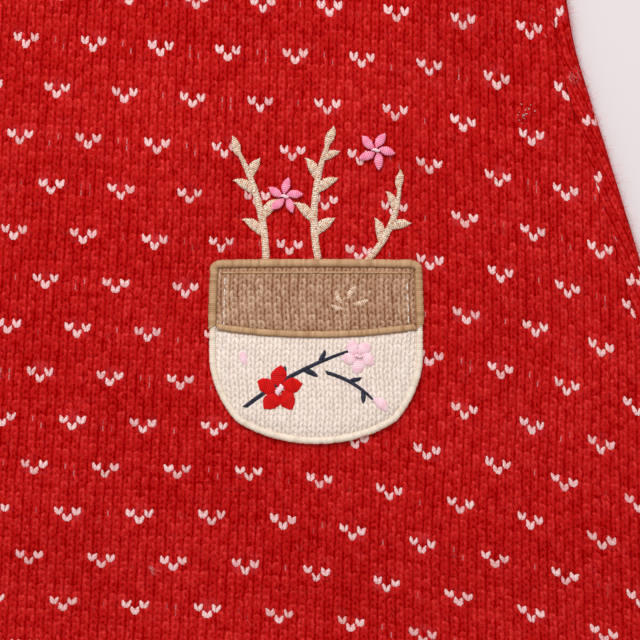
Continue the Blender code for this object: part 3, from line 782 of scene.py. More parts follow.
def laid_thread(spine, half, crown, pitch=PITCH, slant=0.0, lift=None, sides=14, seed=1, flat=0.25):
    """Points and UV of threads laid across a spine of plan points.

    half and crown are the half width and height along it. slant is how many threads further
    along a thread's right end lies than its left. flat is the share of the height below its
    middle. lift gives the height it lies at."""
    rng = np.random.default_rng(seed)
    there = far_along(spine)
    count = max(int(there[-1] / pitch), 2)
    at = np.linspace(0, there[-1], 4 * count + 1)
    place = place_on(spine, there, at)
    way = unit(np.gradient(place, axis=0))
    across = -turned_left(way)
    share = at / at[-1]
    half, crown = at_shares(half, share)[:, None], at_shares(crown, share)[:, None]
    ragged = 1 + RAGGED * rng.uniform(-1, 1, (count + 2, 2))
    angle = 2 * pi * np.arange(sides) / sides
    side, up = np.cos(angle), np.sin(angle)
    number = share[:, None] * count + slant * side
    which = np.clip(np.floor(number).astype(int), 0, count + 1)
    out = half * np.where(side > 0, ragged[which, 0], ragged[which, 1]) * side
    shift = slant * pitch * side
    x = place[:, :1] + across[:, :1] * out + way[:, :1] * shift
    y = place[:, 1:] + across[:, 1:] * out + way[:, 1:] * shift
    ridge = RIDGE * (np.abs(np.sin(pi * number)) - 0.6) * np.maximum(up + 0.2, 0)
    rise = crown * (flat + np.where(up > 0, up, flat * up)) + ridge
    uv = joined(number, side)
    points = joined(x, y, (lift or body_upper)(x, y) + rise)
    return points, np.concatenate((uv, uv[:, :1]), axis=1)


def thread_mesh(name, tubes):
    """One mesh of many tubes, each closed at both ends."""
    points, faces, corners, count = [], [], [], 0
    for spots, uv in tubes:
        rows, sides = spots.shape[:2]
        around, along = spots[1, 1] - spots[1, 0], spots[2, 0] - spots[1, 0]
        flip = np.dot(np.cross(around, along), spots[1, 0] - spots[1].mean(axis=0)) < 0
        ring = np.arange(sides)
        ends = np.stack((ring[::-1], ring + (rows - 1) * sides))
        ends = ends[:, ::-1] if flip else ends
        faces += (grid_faces(rows, sides, True, flip) + count).tolist() + (ends + count).tolist()
        corners += [grid_uv(uv, flip).reshape(-1, 2), np.repeat(uv[[0, -1], 0], sides, axis=0)]
        points.append(spots.reshape(-1, 3))
        count += rows * sides
    obj = new_object(name, np.concatenate(points), faces, np.concatenate(corners))
    only(obj)
    bpy.ops.object.shade_smooth_by_angle(angle=radians(70))
    print(name, "has", len(obj.data.polygons), "faces")
    return obj


# %% [markdown]
# ## Overlocked edges
#
# A knit patch would ravel, so its edge is wrapped in close thread: tan round the yoke, cream
# round the lower part, and a flat tan row over the join. Each is one tube of laid threads along
# the pocket's edge. Where the tan edge was folded under at the mouth, a second thin row shows
# inside it.


# %% Edge cords
EDGE_STEPS = 60  # on each side of the pocket


def edge_path(corners, out):
    """Plan points along the pocket's edge, counterclockwise, this far outside it."""
    at = np.linspace(0, len(corners) - 1, EDGE_STEPS * (len(corners) - 1) + 1)
    line = pocket_point(*xy(place_on(corners, np.arange(len(corners)), at)))
    steps = unit(np.diff(line, axis=0))
    before, after = np.vstack((steps[:1], steps)), np.vstack((steps, steps[-1:]))
    reach = out / (1 + (before * after).sum(axis=1))
    line = line - turned_left(before + after) * reach[:, None]
    for _ in range(3):
        line[1:-1] = (line[:-2] + 2 * line[1:-1] + line[2:]) / 4
    return line


def above(height):
    """The lift of what lies this far above the front."""
    return lambda x, y: body_upper(x, y) + height


on_front, on_pocket = above(ON_FRONT), above(ON_FRONT + POCKET_WALL)
CORD_PITCH = 0.0007
yoke_path = edge_path(((1, JOIN), (1, 1), (-1, 1), (-1, JOIN)), 0.0009)
mouth_path = edge_path(((0.955, 0.93), (-0.955, 0.93)), 0.0)
face_path = edge_path(((-1, JOIN), (-1, -1), (1, -1), (1, JOIN)), 0.0007)
join_path = pocket_point(np.linspace(0.985, -0.985, 80), JOIN)
tan_edge = laid_thread(yoke_path, [0.00145], [0.0013], CORD_PITCH, 1.4, on_front, 14, 3, 0.8)
tan_inner = laid_thread(mouth_path, [0.0004], [0.0005], PITCH, 0.6, on_pocket)
cream_edge = laid_thread(face_path, [0.0012], [0.0011], CORD_PITCH, 0.9, on_front, 14, 4, 0.8)
tan_join = laid_thread(join_path, [0.00115], [0.0008], CORD_PITCH, 0.9, on_pocket, seed=5)
yoke_border = thread_mesh("cord_yoke_border", [tan_edge, tan_inner])
face_border = thread_mesh("cord_face_border", [cream_edge])
divider = thread_mesh("cord_divider", [tan_join])

# %% [markdown]
# ## The embroidered flowers
#
# The pocket carries a sprig of flowers in satin stitch, and gold sprigs grow out of its mouth.
# Each petal, leaf and stem is laid thread on a bent spine: a stem keeps its width, and a leaf
# swells in the middle. A few helpers draw them all, so a flower is one line of code and a leafy
# stem one row of a table.


# %% Petals, leaves and sprigs
PETALS, LEAF_CROWN, STEM_CROWN, STEM_TAPER = 5, 0.0005, 0.0006, 0.6
SWELL = np.sin(pi * np.linspace(0, 1, 15)) ** 0.7


def bent(start, end, bulge=0.0, count=24):
    """Plan points from start to end, on a curve that swings this far to its left."""
    t = np.linspace(0, 1, count)[:, None]
    start, way = np.array(start), np.array(end) - np.array(start)
    side = turned_left(way) / np.linalg.norm(way)
    return start + way * t + side * bulge * 4 * t * (1 - t)


def leaf(start, angle, length, half, lift, bulge=0.08, pitch=PITCH, slant=1.0, seed=1):
    """One leaf or petal. angle is in degrees, counterclockwise from +X."""
    spine = bent(start, np.array(start) + length * way_at(radians(angle)), bulge * length)
    width, crown = half * (0.12 + 0.88 * SWELL), LEAF_CROWN * (0.4 + 0.6 * SWELL)
    return laid_thread(spine, width, crown, pitch, slant, lift, 12, seed)


def flower(centre, radius, half, turn, lift, seed):
    """Petals round a centre. turn is the first one's angle in degrees."""
    found = []
    for k in range(PETALS):
        angle = turn + 360 * k / PETALS
        start = np.array(centre) + way_at(radians(angle)) * radius * 0.14
        length = radius * (0.84 + 0.04 * (k % 2))
        found.append(leaf(start, angle, length, half, lift, 0.03, slant=0.6, seed=seed + k))
    return found


def leafy_stem(lift, start, end, bulge, half, seed, leaves):
    """A stem and its leaves, each (share along it, side from -1 to 1, length, half width)."""
    spine, line = bent(start, end, bulge), bent(start, end, bulge, 41)
    width = (half, half, half * STEM_TAPER)
    found = [laid_thread(spine, width, [STEM_CROWN], PITCH, 1.2, lift, 12, seed)]
    for k, (share, side, length, width) in enumerate(leaves):
        n = int(share * 40)
        way = line[min(n + 1, 40)] - line[min(n, 39)]
        angle = np.degrees(np.arctan2(way[1], way[0])) + side * (52 - 14 * share)
        found.append(leaf(line[n], angle, length, width, lift, -0.09 * side, seed=seed + k + 1))
    return found


# %% Flowers on the pocket
# Stems: (start, end, bulge, half width, seed, leaves)
NAVY_STEMS = (
    ((0.0490, 0.2070), (0.0880, 0.2270), 0.0022, 0.0008, 11, (
        (0.34, 1, 0.0062, 0.0011), (0.52, -1, 0.0068, 0.0012), (0.66, 1, 0.0052, 0.0010))),
    ((0.0760, 0.2185), (0.0925, 0.2085), 0.0015, 0.0007, 21, (
        (0.40, 1, 0.0050, 0.0010), (0.66, -1, 0.0056, 0.0011))),
)
navy_threads = [tube for row in NAVY_STEMS for tube in leafy_stem(on_pocket, *row)]
navy = thread_mesh("stitch_navy_stems", navy_threads)
petals = flower((0.0605, 0.2128), 0.0078, 0.0027, 18, above(0.0023), 31)
red_flower = thread_mesh("stitch_red_flower", petals)
petals = flower((0.0868, 0.2240), 0.0058, 0.0021, 50, above(0.0023), 41)
buds = [
    leaf((0.0915, 0.2090), -28, 0.0058, 0.0018, above(0.0023), 0.1, seed=51),
    leaf((0.0500, 0.2215), 118, 0.0048, 0.0016, above(0.0020), 0.1, seed=52),
    leaf((0.0605, 0.2114), 90, 0.0028, 0.0014, above(0.0027), 0.0, seed=53),
]
pink_flowers = thread_mesh("stitch_pink_flowers", petals + buds)

# %% Gold sprigs
GOLD_STEMS = (
    ((0.0560, 0.2556), (0.0465, 0.2925), -0.0024, 0.0012, 61, (
        (0.24, 1, 0.0085, 0.0017), (0.36, -1, 0.0092, 0.0018), (0.60, 1, 0.0080, 0.0016),
        (0.74, -1, 0.0074, 0.0016), (0.97, -0.1, 0.0066, 0.0015))),
    ((0.0735, 0.2556), (0.0770, 0.2955), 0.0030, 0.0012, 71, (
        (0.20, -1, 0.0088, 0.0018), (0.34, 1, 0.0086, 0.0017), (0.55, -1, 0.0090, 0.0017),
        (0.68, 1, 0.0078, 0.0016), (0.84, -1, 0.0066, 0.0014), (0.97, 0.1, 0.0070, 0.0015))),
    ((0.0895, 0.2556), (0.1005, 0.2810), -0.0026, 0.0011, 81, (
        (0.28, 1, 0.0080, 0.0016), (0.46, -1, 0.0076, 0.0016), (0.72, 1, 0.0066, 0.0014),
        (0.97, 0.1, 0.0062, 0.0014))),
)
gold_threads = [tube for row in GOLD_STEMS for tube in leafy_stem(above(0.0002), *row)]
gold_threads += [
    leaf((0.0835, 0.2425), 62, 0.0058, 0.0011, on_pocket, 0.1, seed=91),
    leaf((0.0845, 0.2412), 20, 0.0062, 0.0010, on_pocket, -0.1, seed=92),
    leaf((0.0818, 0.2415), 122, 0.0052, 0.0010, on_pocket, 0.1, seed=93),
    leaf((0.0822, 0.2400), 168, 0.0050, 0.0009, on_pocket, 0.1, seed=94),
]
gold_sprigs = thread_mesh("stitch_gold_sprigs", gold_threads)
petals = flower((0.0623, 0.2772), 0.0060, 0.0014, 10, above(0.0011), 101)
petals += flower((0.0927, 0.2925), 0.0063, 0.0015, 65, above(0.0011), 111)
stars = thread_mesh("stitch_pink_stars", petals)
hearts = [
    leaf((x - 0.0011, y - 0.0002), 8, 0.0022, 0.0008, above(rise), 0.0, 0.0005, seed=121)
    for x, y, rise in ((0.0623, 0.2772, 0.0018), (0.0927, 0.2925, 0.0018), (0.0868, 0.2240, 0.0030))
]
star_hearts = thread_mesh("stitch_pale_hearts", hearts)

# %% [markdown]
# ## Lockstitch
#
# A row of white machine stitches just inside the edge holds the pocket to the front. On top it is
# a row of short dashes that sink a little into the knit.

# %% Dashes
DASH, DASH_STEP, DASH_JITTER, DASH_END = 0.0029, 0.0037, 0.0001, 0.0034
DASH_PITCH, DASH_HALF, DASH_CROWN = 0.0013, (0.00016, 0.00026, 0.00016), (0.0002, 0.0003, 0.0001)
IN_SIDE, IN_MOUTH, FOOT_START = 0.915, 0.90, -0.55  # where the row runs, in the pocket's square
foot = way_at(np.linspace(pi, 2 * pi, 90)) * (0.9, 0.33) - (0, 0.58)
track = np.concatenate(
    (
        pocket_point(-IN_SIDE, np.linspace(IN_MOUTH, FOOT_START, 60)),
        pocket_point(foot[:, 0], foot[:, 1]),
        pocket_point(IN_SIDE, np.linspace(FOOT_START, IN_MOUTH, 60)),
    )
)
along_track = far_along(track)
rng = np.random.default_rng(7)
dashes = []
for start in np.arange(PITCH, along_track[-1] - DASH_END, DASH_STEP):
    at = start + np.linspace(0, DASH, 6) + rng.uniform(-DASH_JITTER, DASH_JITTER)
    spine = place_on(track, along_track, at)
    dashes.append(laid_thread(spine, DASH_HALF, DASH_CROWN, DASH_PITCH, 0.0, on_pocket, 8))
lockstitch = thread_mesh("stitch_lock", dashes)

# %% [markdown]
# ## Fluff
#
# A soft wool-like yarn is never clean: short fibres stand off it and catch the light, most of all
# along the folded sides. Hair particles would do it, but they don't leave the file as a mesh. So
# each fibre is a thin closed tube of three sides and two lengths, and thousands of them are one
# mesh.


# %% Fibres
# How much fibres bend sideways, how steeply they rise, and how their tips come down
BEND, STEEP, DROOP = 0.22, 2.2, 0.55


def fibres(name, roots, ways, lengths, rise, thickness=0.00003, seed=1):
    """Thin bent tubes from these roots, along these plan ways, lifting off by rise."""
    rng = np.random.default_rng(seed)
    side = turned_left(ways)
    turn = 2 * pi * np.arange(3) / 3
    spine = []
    for share, width in ((0.0, 1.0), (0.5, 0.9), (1.0, 0.35)):
        plan = roots[:, :2] + ways * lengths[:, None] * share
        plan = plan + side * (lengths * rng.normal(0, BEND, len(roots)) * share**2)[:, None]
        z = roots[:, 2] + rise * STEEP * (share - DROOP * share * share)
        out = np.cos(turn)[None, :, None] * np.column_stack((side, 0 * z))[:, None]
        out = out + np.sin(turn)[None, :, None] * np.array((0, 0, 1.0))
        spine.append(np.column_stack((plan, z))[:, None] + out * thickness * width)
    shift = 9 * np.arange(len(roots))[:, None, None]
    quads, caps = grid_faces(3, 3, closed=True), np.array(((2, 1, 0), (6, 7, 8)))
    faces = (quads + shift).reshape(-1, 4).tolist() + (caps + shift).reshape(-1, 3).tolist()
    print(name, "has", len(roots), "fibres")
    return new_object(name, np.stack(spine, axis=1), faces)


def scattered(grid, count, rng):
    """Random places on a grid of points."""
    rows, columns = grid.shape[0] - 2, grid.shape[1] - 2
    r, c = rng.uniform(0, rows, count), rng.uniform(0, columns, count)
    i, j = r.astype(int), c.astype(int)
    s, t = (r - i)[:, None], (c - j)[:, None]
    low = grid[i, j] * (1 - t) + grid[i, j + 1] * t
    return low * (1 - s) + (grid[i + 1, j] * (1 - t) + grid[i + 1, j + 1] * t) * s


FRONT_FIBRES, SIDE_FIBRES, CRUMBS, CRUMB = 5200, 6000, 22, 0.00018
rng = np.random.default_rng(17)
roots = scattered(front_points, FRONT_FIBRES, rng)
turns = rng.uniform(0, 2 * pi, len(roots))
lengths, rise = rng.gamma(3.0, 0.0011, len(roots)), rng.uniform(0.0001, 0.0006, len(roots))
fluff = fibres("fluff_front", roots, way_at(turns), lengths, rise)

# Along the folded sides, the fibres stand outwards.
heights = rng.uniform(-0.004, 0.378, SIDE_FIBRES)
signs = np.where(rng.random(len(heights)) < 0.5, 1.0, -1.0)
ways = way_at(rng.normal(0, 0.8, len(heights))) * joined(signs, 1.0)
low = rng.uniform(0.0012, 0.0042, len(heights))
roots = joined(signs * (half_width(heights) - 0.0002), heights, low)
lengths, rise = rng.gamma(2.2, 0.0006, len(roots)), rng.uniform(-0.0002, 0.0006, len(roots))
fluff_sides = fibres("fluff_sides", roots, ways, lengths, rise, seed=2)

# A little pale lint has caught in the knit: (x, height, reach, fibres) of wisps near the wearer's
# left side and of a pill low down.
LINT = ((0.1588, 0.3180, 0.0026, 16), (0.0172, 0.1535, 0.0007, 14), (0.1480, 0.3360, 0.004, 6))
roots = []
for x, y, reach, count in LINT:
    x, y = (rng.normal(0, (reach, 1.6 * reach), (count, 2)) * 0.5 + (x, y)).T
    roots.append(joined(x, y, body_upper(x, y) + 0.0002))
roots = np.concatenate(roots)
ways = way_at(rng.normal(-1.0, 0.35, len(roots)))
lengths, rise = rng.gamma(4.0, 0.0004, len(roots)), rng.uniform(0.0001, 0.0005, len(roots))
lint = fibres("fluff_pale", roots, ways, lengths, rise, thickness=0.00006, seed=3)

# Crumbs of foil from the embroidery cling to the knit above one fleck.
crumbs = []
for _ in range(CRUMBS):
    spot = rng.normal(0, (0.0018, 0.0016), 2) + (0.1415, 0.3046)
    turn = rng.uniform(0, pi)
    way = CRUMB * rng.uniform(0.6, 1.8) * way_at(turn)
    spine = (spot - way, spot, spot + way)
    crumbs.append(laid_thread(spine, [0.00010], [0.00010], 0.0005, 0, on_front, 6))
foil_crumbs = thread_mesh("stitch_foil_crumbs", crumbs)

# %% [markdown]
# ## Shader sums
#
# The finishes are drawn with sums on stitch coordinates. Wiring dozens of Math nodes by hand
# hides the sum, so a small class lets Python write it: a `Shade` is a socket, and `a * b + 1`
# adds the nodes. A `Finish` is one material, and its `add` makes any kind of node.


# %% Shade and Finish
class Shade:
    """A value that changes over a surface: a socket that can be used in sums."""

    def __init__(self, finish, socket):
        self.finish, self.socket = finish, socket

    def sum(self, operation, *values):
        return self.finish.add("ShaderNodeMath", {"operation": operation}, dict(enumerate(values)))

    def __rsub__(self, other):
        return self.sum("SUBTRACT", other, self)

    def near(self, other):
        return self.sum("COMPARE", self, other, 0.5)

    def eased(self, low, high, start=0.0, end=1.0):
        """A smooth step from start to end, while this goes from low to high."""
        values = {0: self, 1: low, 2: high, 3: start, 4: end}
        return self.finish.add("ShaderNodeMapRange", {"interpolation_type": "SMOOTHSTEP"}, values)

    def other(self, name):
        """Another output of the same node."""
        return Shade(self.finish, self.socket.node.outputs[name])


# Each of these methods is one Math node.
SUMS = {
    "__add__": "ADD",
    "__radd__": "ADD",
    "__sub__": "SUBTRACT",
    "__mul__": "MULTIPLY",
    "__truediv__": "DIVIDE",
    "__mod__": "FLOORED_MODULO",
    "__abs__": "ABSOLUTE",
    "over": "GREATER_THAN",  # 1 where it is greater, 0 elsewhere
    "most": "MAXIMUM",
    "part": "FRACT",
    "whole": "FLOOR",
    "root": "SQRT",
}
for method, kind in SUMS.items():
    setattr(Shade, method, lambda shade, *other, kind=kind: shade.sum(kind, shade, *other))


class Finish:
    """One material and its node tree. The numbers are constants on the shader's own sockets."""

    def __init__(self, name, **constants):
        self.material = bpy.data.materials.new(name)
        self.material.use_nodes = True
        self.tree = self.material.node_tree
        self.shader = self.tree.nodes["Principled BSDF"]
        for socket, value in constants.items():
            self.shader.inputs[socket.replace("_", " ")].default_value = value

    def add(self, kind, settings, values, output=0):
        """A node of this kind. Its settings come first, then the values or links of its sockets."""
        node = self.tree.nodes.new(kind)
        for setting, value in settings.items():
            setattr(node, setting, value)
        for socket, value in values.items():
            self.feed(node.inputs[socket], value)
        return Shade(self, node.outputs[output])

    def feed(self, socket, value):
        if isinstance(value, Shade):
            self.tree.links.new(value.socket, socket)
        else:
            socket.default_value = value

    def blend(self, share, first, second):
        """One colour going into another."""
        values = {0: share, 6: first, 7: second}
        return self.add("ShaderNodeMix", {"data_type": "RGBA"}, values, output=2)

    def vector(self, x, y, z=0.0):
        return self.add("ShaderNodeCombineXYZ", {}, {0: x, 1: y, 2: z})

    def noise(self, place, scale, detail, rough=0.5):
        """Noise at a place: (x, y) or (x, y, z) of a pattern, or a Shade that is a vector."""
        place = self.vector(*place) if isinstance(place, tuple) else place
        values = {"Vector": place, "Scale": scale, "Detail": detail, "Roughness": rough}
        return self.add("ShaderNodeTexNoise", {}, values)

    def chance(self, x, y, z=0.0):
        """One random number for each whole place."""
        settings = {"noise_dimensions": "3D"}
        return self.add("ShaderNodeTexWhiteNoise", settings, {"Vector": self.vector(x, y, z)})

    def stitch_place(self):
        """The two stitch coordinates of the piece's UV map."""
        place = self.add("ShaderNodeUVMap", {"uv_map": "stitches"}, {})
        split = self.add("ShaderNodeSeparateXYZ", {}, {0: place})
        return split, split.other("Y")

    def cloud(self, scale, detail):
        """Noise fixed to the object."""
        place = self.add("ShaderNodeTexCoord", {}, {}, output=3)
        return self.noise(place, scale, detail)

    def coloured(self, colour):
        self.feed(self.shader.inputs["Base Color"], colour)
        return self.material

    def done(self, colour, roughness, height, relief):
        """Feeds the shader, with this height as a bump this many metres deep."""
        self.feed(self.shader.inputs["Roughness"], roughness)
        values = {"Strength": 1.0, "Distance": relief, "Height": height}
        self.feed(self.shader.inputs["Normal"], self.add("ShaderNodeBump", {}, values))
        return self.coloured(colour)


def dye(red, green, blue):
    """A colour from its usual 0 to 255 numbers, in the shader's linear units."""
    shares = (red / 255, green / 255, blue / 255)
    return (*(c / 12.92 if c < 0.0405 else ((c + 0.055) / 1.055) ** 2.4 for c in shares), 1.0)


# %% [markdown]
# ## Jersey stitches
#
# A jersey stitch shows as two slanted legs that meet at the foot, and its top goes under the foot
# of the next stitch up. So at any place two stitches may show: the one that starts in this course
# and the one from the course below. Each leg is a leaf-shaped hump, and the higher of the two
# humps shows. The yarn's tone rises with the hump and falls in the groove along the middle of
# each wale: this is painted shade in the hollows and painted light on the tops, because a bump in
# the finish casts no shadow of its own.


# %% V-shaped stitches
LEG_MIDDLE, LEG_HALF = 0.58, 0.68  # where along a stitch a leg is widest, its half length
LEG_WIDTH, LEG_ACROSS, LEG_SLANT = 0.54, 0.296, 0.34  # in half wales
STRAY_ACROSS, STRAY_ALONG = 0.54, 0.44  # how far stitches stray from an even grid


def jersey(finish, u, v):
    """The stitch that shows: height, wale, leg, course, place across and along the leg, and the
    painted shade in its groove.
    """
    u = u + (finish.noise((u, v), 0.9, 3.0, 0.65) - 0.5) * STRAY_ACROSS
    v = v + (finish.noise((u, v, 7.0), 0.9, 2.0, 0.65) - 0.5) * STRAY_ALONG
    wale, aside = u.whole(), abs(u.part() - 0.5) * 2
    shown = []
    for below in (0.0, 1.0):
        t = v.part() + below
        off = (t - LEG_MIDDLE) / LEG_HALF
        plump = finish.chance(wale, v.whole() - below, 5.0) * 0.26 + 0.87
        spread = (1 - off * off).most(0.0001).root() * LEG_WIDTH * plump
        across = (aside - (t * LEG_SLANT + LEG_ACROSS)) / spread
        lift = t.eased(0.0, 0.34, 0.55, 1.0) * t.eased(0.8, 1.42, 1.0, 0.5)
        shown.append(((1 - across * across).most(0) * lift, across, t))
    far = shown[1][0].over(shown[0][0])
    height, across, along = (near + (below - near) * far for near, below in zip(*shown))
    # Painted shade: darker along the middle of each wale, and halfway up each course beside the
    # wale edges; gap sets how dark, at random from stitch to stitch.
    gap = finish.chance(wale, v.whole(), 9.0) * 0.26 + 0.05
    groove_shade = aside.eased(0.0, 0.42, 1.0, 0.0) * gap - (aside - 0.5) * 0.12
    groove_shade = groove_shade - (abs(v.part() - 0.5) * 4 - 1) * aside * 0.19
    return height, wale, (u * 2).whole(), v.whole() - far, across, along, groove_shade


def yarn(finish, stitch, deep, middle, light, fluff, fuzzy=0.95):
    """Colour and tone of the yarn, with the fluff over it. Less fuzzy is more regular."""
    height, wale, leg, course, across, along, groove_shade = stitch
    each = finish.chance(leg, course)
    strand = finish.noise((across * 1.3, along * 1.6, each * 9), 1.6, 2.0)
    fuzz = finish.noise((wale + across * 0.4, course + along, 3.0), 2.3, 3.0, 0.6)
    patches = finish.noise((wale, course), 0.05, 2.0)
    # Painted shade and highlight: the tone follows the hump's height, darker in the hollows and
    # lighter on the tops, and the groove's painted shade is taken off it.
    shade = height * (0.58 - 0.4 * fuzzy) + (each - 0.5) * 0.42 + (strand - 0.5) * 0.8
    shade = shade + (patches - 0.5) * 0.4 + (fuzz - 0.5) * fuzzy + 0.215 + 0.06 * fuzzy - groove_shade
    colour = finish.blend(shade.eased(-0.05, 0.42), deep, middle)
    colour = finish.blend(shade.eased(0.42, 1.0), colour, light)
    haze = finish.noise((wale + across * 0.5, course + along), 0.55, 3.0)
    return finish.blend(haze.eased(0.55, 0.85, 0.0, 0.3) * height, colour, fluff), shade


# %% [markdown]
# ## Red jersey with pale flecks
#
# The pattern is a tiny V of three pale stitches, two above one, repeated every eight wales and
# seven courses, with every other row of them moved half a repeat. Between flecks the pale yarn
# floats along the back, and glints through between two wales here and there.

# %% Red jersey
# Deep, middle and light red, and the fluff's red. Besides the yarn's own tone, deep red is reached
# in the painted shade of the hollows and light red on the tops, where it also stands for a painted
# sheen.
RED = dye(150, 0, 0), dye(191, 24, 22), dye(227, 56, 53), dye(226, 84, 84)


def fleck_rows(course):
    """The row of flecks a course belongs to, its place in it, and how far the row is moved."""
    row = (course / REPEAT_COURSES).whole()
    return row, course % REPEAT_COURSES, (row % 2).near(0) * (REPEAT_WALES / 2)


def knit_finish(name, gloss=0.0, sheen=0.01):
    """An empty finish for knit, and the two stitch coordinates."""
    finish = Finish(name, Specular_IOR_Level=gloss, Sheen_Weight=sheen, Sheen_Roughness=0.5)
    return finish, *finish.stitch_place()


def red_jersey():
    finish, u, v = knit_finish("red_jersey")
    stitch = jersey(finish, u, v)
    height, wale, _, course, across, along, _ = stitch
    colour, shade = yarn(finish, stitch, *RED)

    # The three pale stitches of each fleck
    row, step, moved = fleck_rows(course)
    place = (wale - moved) % REPEAT_WALES
    upper_pair = step.near(1) * (place.near(0) + place.near(2))
    fleck = (upper_pair + step.near(0) * place.near(1)) * height.eased(0.02, 0.22)
    each = finish.chance(wale, course, 3.0)
    strand = finish.noise((across * 2.2, along * 1.2, each * 20), 2.2, 2.0)
    pale = finish.blend(strand.eased(0.36, 0.60), dye(226, 154, 156), dye(255, 220, 218))
    # Painted shade: where a pale leg dips, it goes darker and pinker.
    pale = finish.blend(height.eased(0.1, 0.7, 0.34, 0.0), pale, dye(200, 80, 78))
    # Pink fluff round a fleck
    beside, below = (u - moved) % REPEAT_WALES - 1.5, (v % REPEAT_COURSES) - 1.2
    glow = (beside * beside + below * below).eased(0.8, 6.0, 1.0, 0.0)
    glow = glow * finish.noise((u, v, 11.0), 0.5, 2.0).eased(0.48, 0.75, 0.0, 0.45)
    colour = finish.blend(glow, colour, dye(218, 62, 68))
    colour = finish.blend(fleck * each.eased(0.0, 0.5, 0.74, 1.0), colour, pale)

    # Floats that glint through between two wales
    row, step, moved = fleck_rows(v.whole())
    beside = (u - moved) % REPEAT_WALES
    glint = 0.0
    for gap in (5.0, 6.0):
        seen = finish.chance(row, ((u - moved) / REPEAT_WALES).whole(), gap + step)
        line = abs(beside - gap).eased(0.0, 0.11, 1.0, 0.0) * seen.over(0.62)
        glint = line * seen.eased(0.62, 1.0, 0.1, 0.8) + glint
    ends = abs(v.part() - 0.5).eased(0.30, 0.46, 1.0, 0.0)
    glint = glint * (1 - step.over(1.5)) * ends
    colour = finish.blend(glint * 0.8, colour, dye(236, 172, 172))
    return finish.done(colour, 0.93 - shade * 0.08, height + (fleck + glint * 0.4) * 0.25, 0.00031)


# %% [markdown]
# ## Red rib
#
# In a rib, plain and purl wales take turns. The plain ones stand up as ribs of V's, and the purl
# ones sink between them and show only a row of bars, with the recess painted dark as its shade.
# The mesh already has the ribs, so the finish draws V's on each crest and bars in each recess.


# %% Red rib
def red_rib():
    finish, u, v = knit_finish("red_rib")
    aside = (u + 0.5).part() - 0.5
    crest = abs(aside).eased(0.31, 0.41, 1.0, 0.0)
    stitch = jersey(finish, aside / 0.70 + 0.5 + (u + 0.5).whole(), v)
    colour, shade = yarn(finish, stitch, *RED)
    # Painted shade: the purl recess is painted dark red, and lighter only on its bars.
    bars = abs(v.part() - 0.5).eased(0.1, 0.5, 0.5, 0.0)
    shaded_recess = finish.blend(bars * (shade + 1.0), dye(120, 2, 4), dye(186, 18, 16))
    colour = finish.blend(crest, shaded_recess, colour)
    height = stitch[0] * crest + bars * (1 - crest) * 0.5
    return finish.done(colour, 0.93 - shade * 0.08, height, 0.0007)


# %% [markdown]
# ## Plain jersey and thread
#
# The pocket's two parts are jersey in one colour each, so the same stitches do, with other dyes.
# Thread is smoother than yarn, so its roughness is lower. Each thread has its own tone, and a
# dark line of painted shade lies between neighbours. An edge cord gets painted shade along the
# side that sinks into the knit. Metallic yarn is a twist of foil and thread, and its glints and
# dark reflections are painted on as light and dark flakes scattered over it.


# %% Finishes
def plain_jersey(name, *dyes):
    finish, u, v = knit_finish(name, 0.15, 0.08)
    stitch = jersey(finish, u, v)
    colour, shade = yarn(finish, stitch, *dyes, fuzzy=0.4)
    return finish.done(colour, 0.92 - shade * 0.06, stitch[0], 0.00036)


def thread(name, deep, middle, light, roughness=0.42, painted_glints=(), shade_lines=0.55, sunk_shade=0.0, gloss=0.35):
    """Two numbers set the painted shade: how dark the lines between threads are, and how dark the
    sunk side of a cord is.
    """
    finish = Finish(name, Specular_IOR_Level=gloss, Sheen_Weight=0.1 * gloss)
    u, v = finish.stitch_place()
    each = finish.chance(u.whole(), 2.0)
    hump = 1 - abs(u.part() - 0.5) * 2
    fine = finish.noise((u * 3.0, v * 1.2, each * 5), 1.6, 2.0)
    # Painted shade and highlight: each thread is lighter along its crown and dark in the line
    # between it and the next.
    shade = hump.eased(0.0, 0.6) * shade_lines + (0.55 - shade_lines) * 0.7
    shade = shade + (each - 0.5) * 0.4 + (fine - 0.5) * 0.5
    colour = finish.blend(shade.eased(-0.05, 0.45), deep, middle)
    colour = finish.blend(shade.eased(0.4, 0.9), colour, light)
    # Painted shade along the side of the cord that sinks into the knit, darkest at its edge.
    if sunk_shade:
        colour = finish.blend(v.eased(-1.0, -0.3, sunk_shade, 0.0), colour, deep)
    # Painted glints: flakes of light and dark dye stand for the foil's glints and reflections.
    for low, high, glint_dye in painted_glints:
        spot = finish.chance((u * 2).whole(), (v * 5 + each * 3).whole())
        colour = finish.blend(spot.over(low) * (1 - spot.over(high)), colour, glint_dye)
    return finish.done(colour, roughness + (0.5 - shade) * 0.12, hump.root(), 0.00033 * shade_lines)


red_knit, rib_knit = red_jersey(), red_rib()
brown_knit = plain_jersey(
    "brown_jersey", dye(134, 80, 51), dye(178, 134, 105), dye(214, 176, 148), dye(204, 164, 136)
)
cream_knit = plain_jersey(
    "cream_jersey", dye(222, 201, 188), dye(244, 225, 212), dye(254, 238, 226), dye(252, 236, 226)
)
TAN = dye(142, 96, 56), dye(192, 151, 111), dye(212, 175, 134)
CREAM = dye(214, 192, 170), dye(242, 225, 206), dye(252, 240, 224)
GOLD = dye(174, 126, 98), dye(242, 204, 176), dye(255, 234, 214)
ROSE = dye(252, 110, 152), dye(255, 154, 186), dye(255, 182, 206)
SCARLET = dye(184, 2, 2), dye(222, 8, 4), dye(238, 20, 14)
PINK = dye(248, 184, 198), dye(255, 216, 226), dye(255, 230, 236)
NAVY = dye(12, 13, 26), dye(28, 30, 54), dye(58, 62, 92)
WHITE = dye(206, 196, 190), dye(236, 230, 224), dye(250, 246, 242)
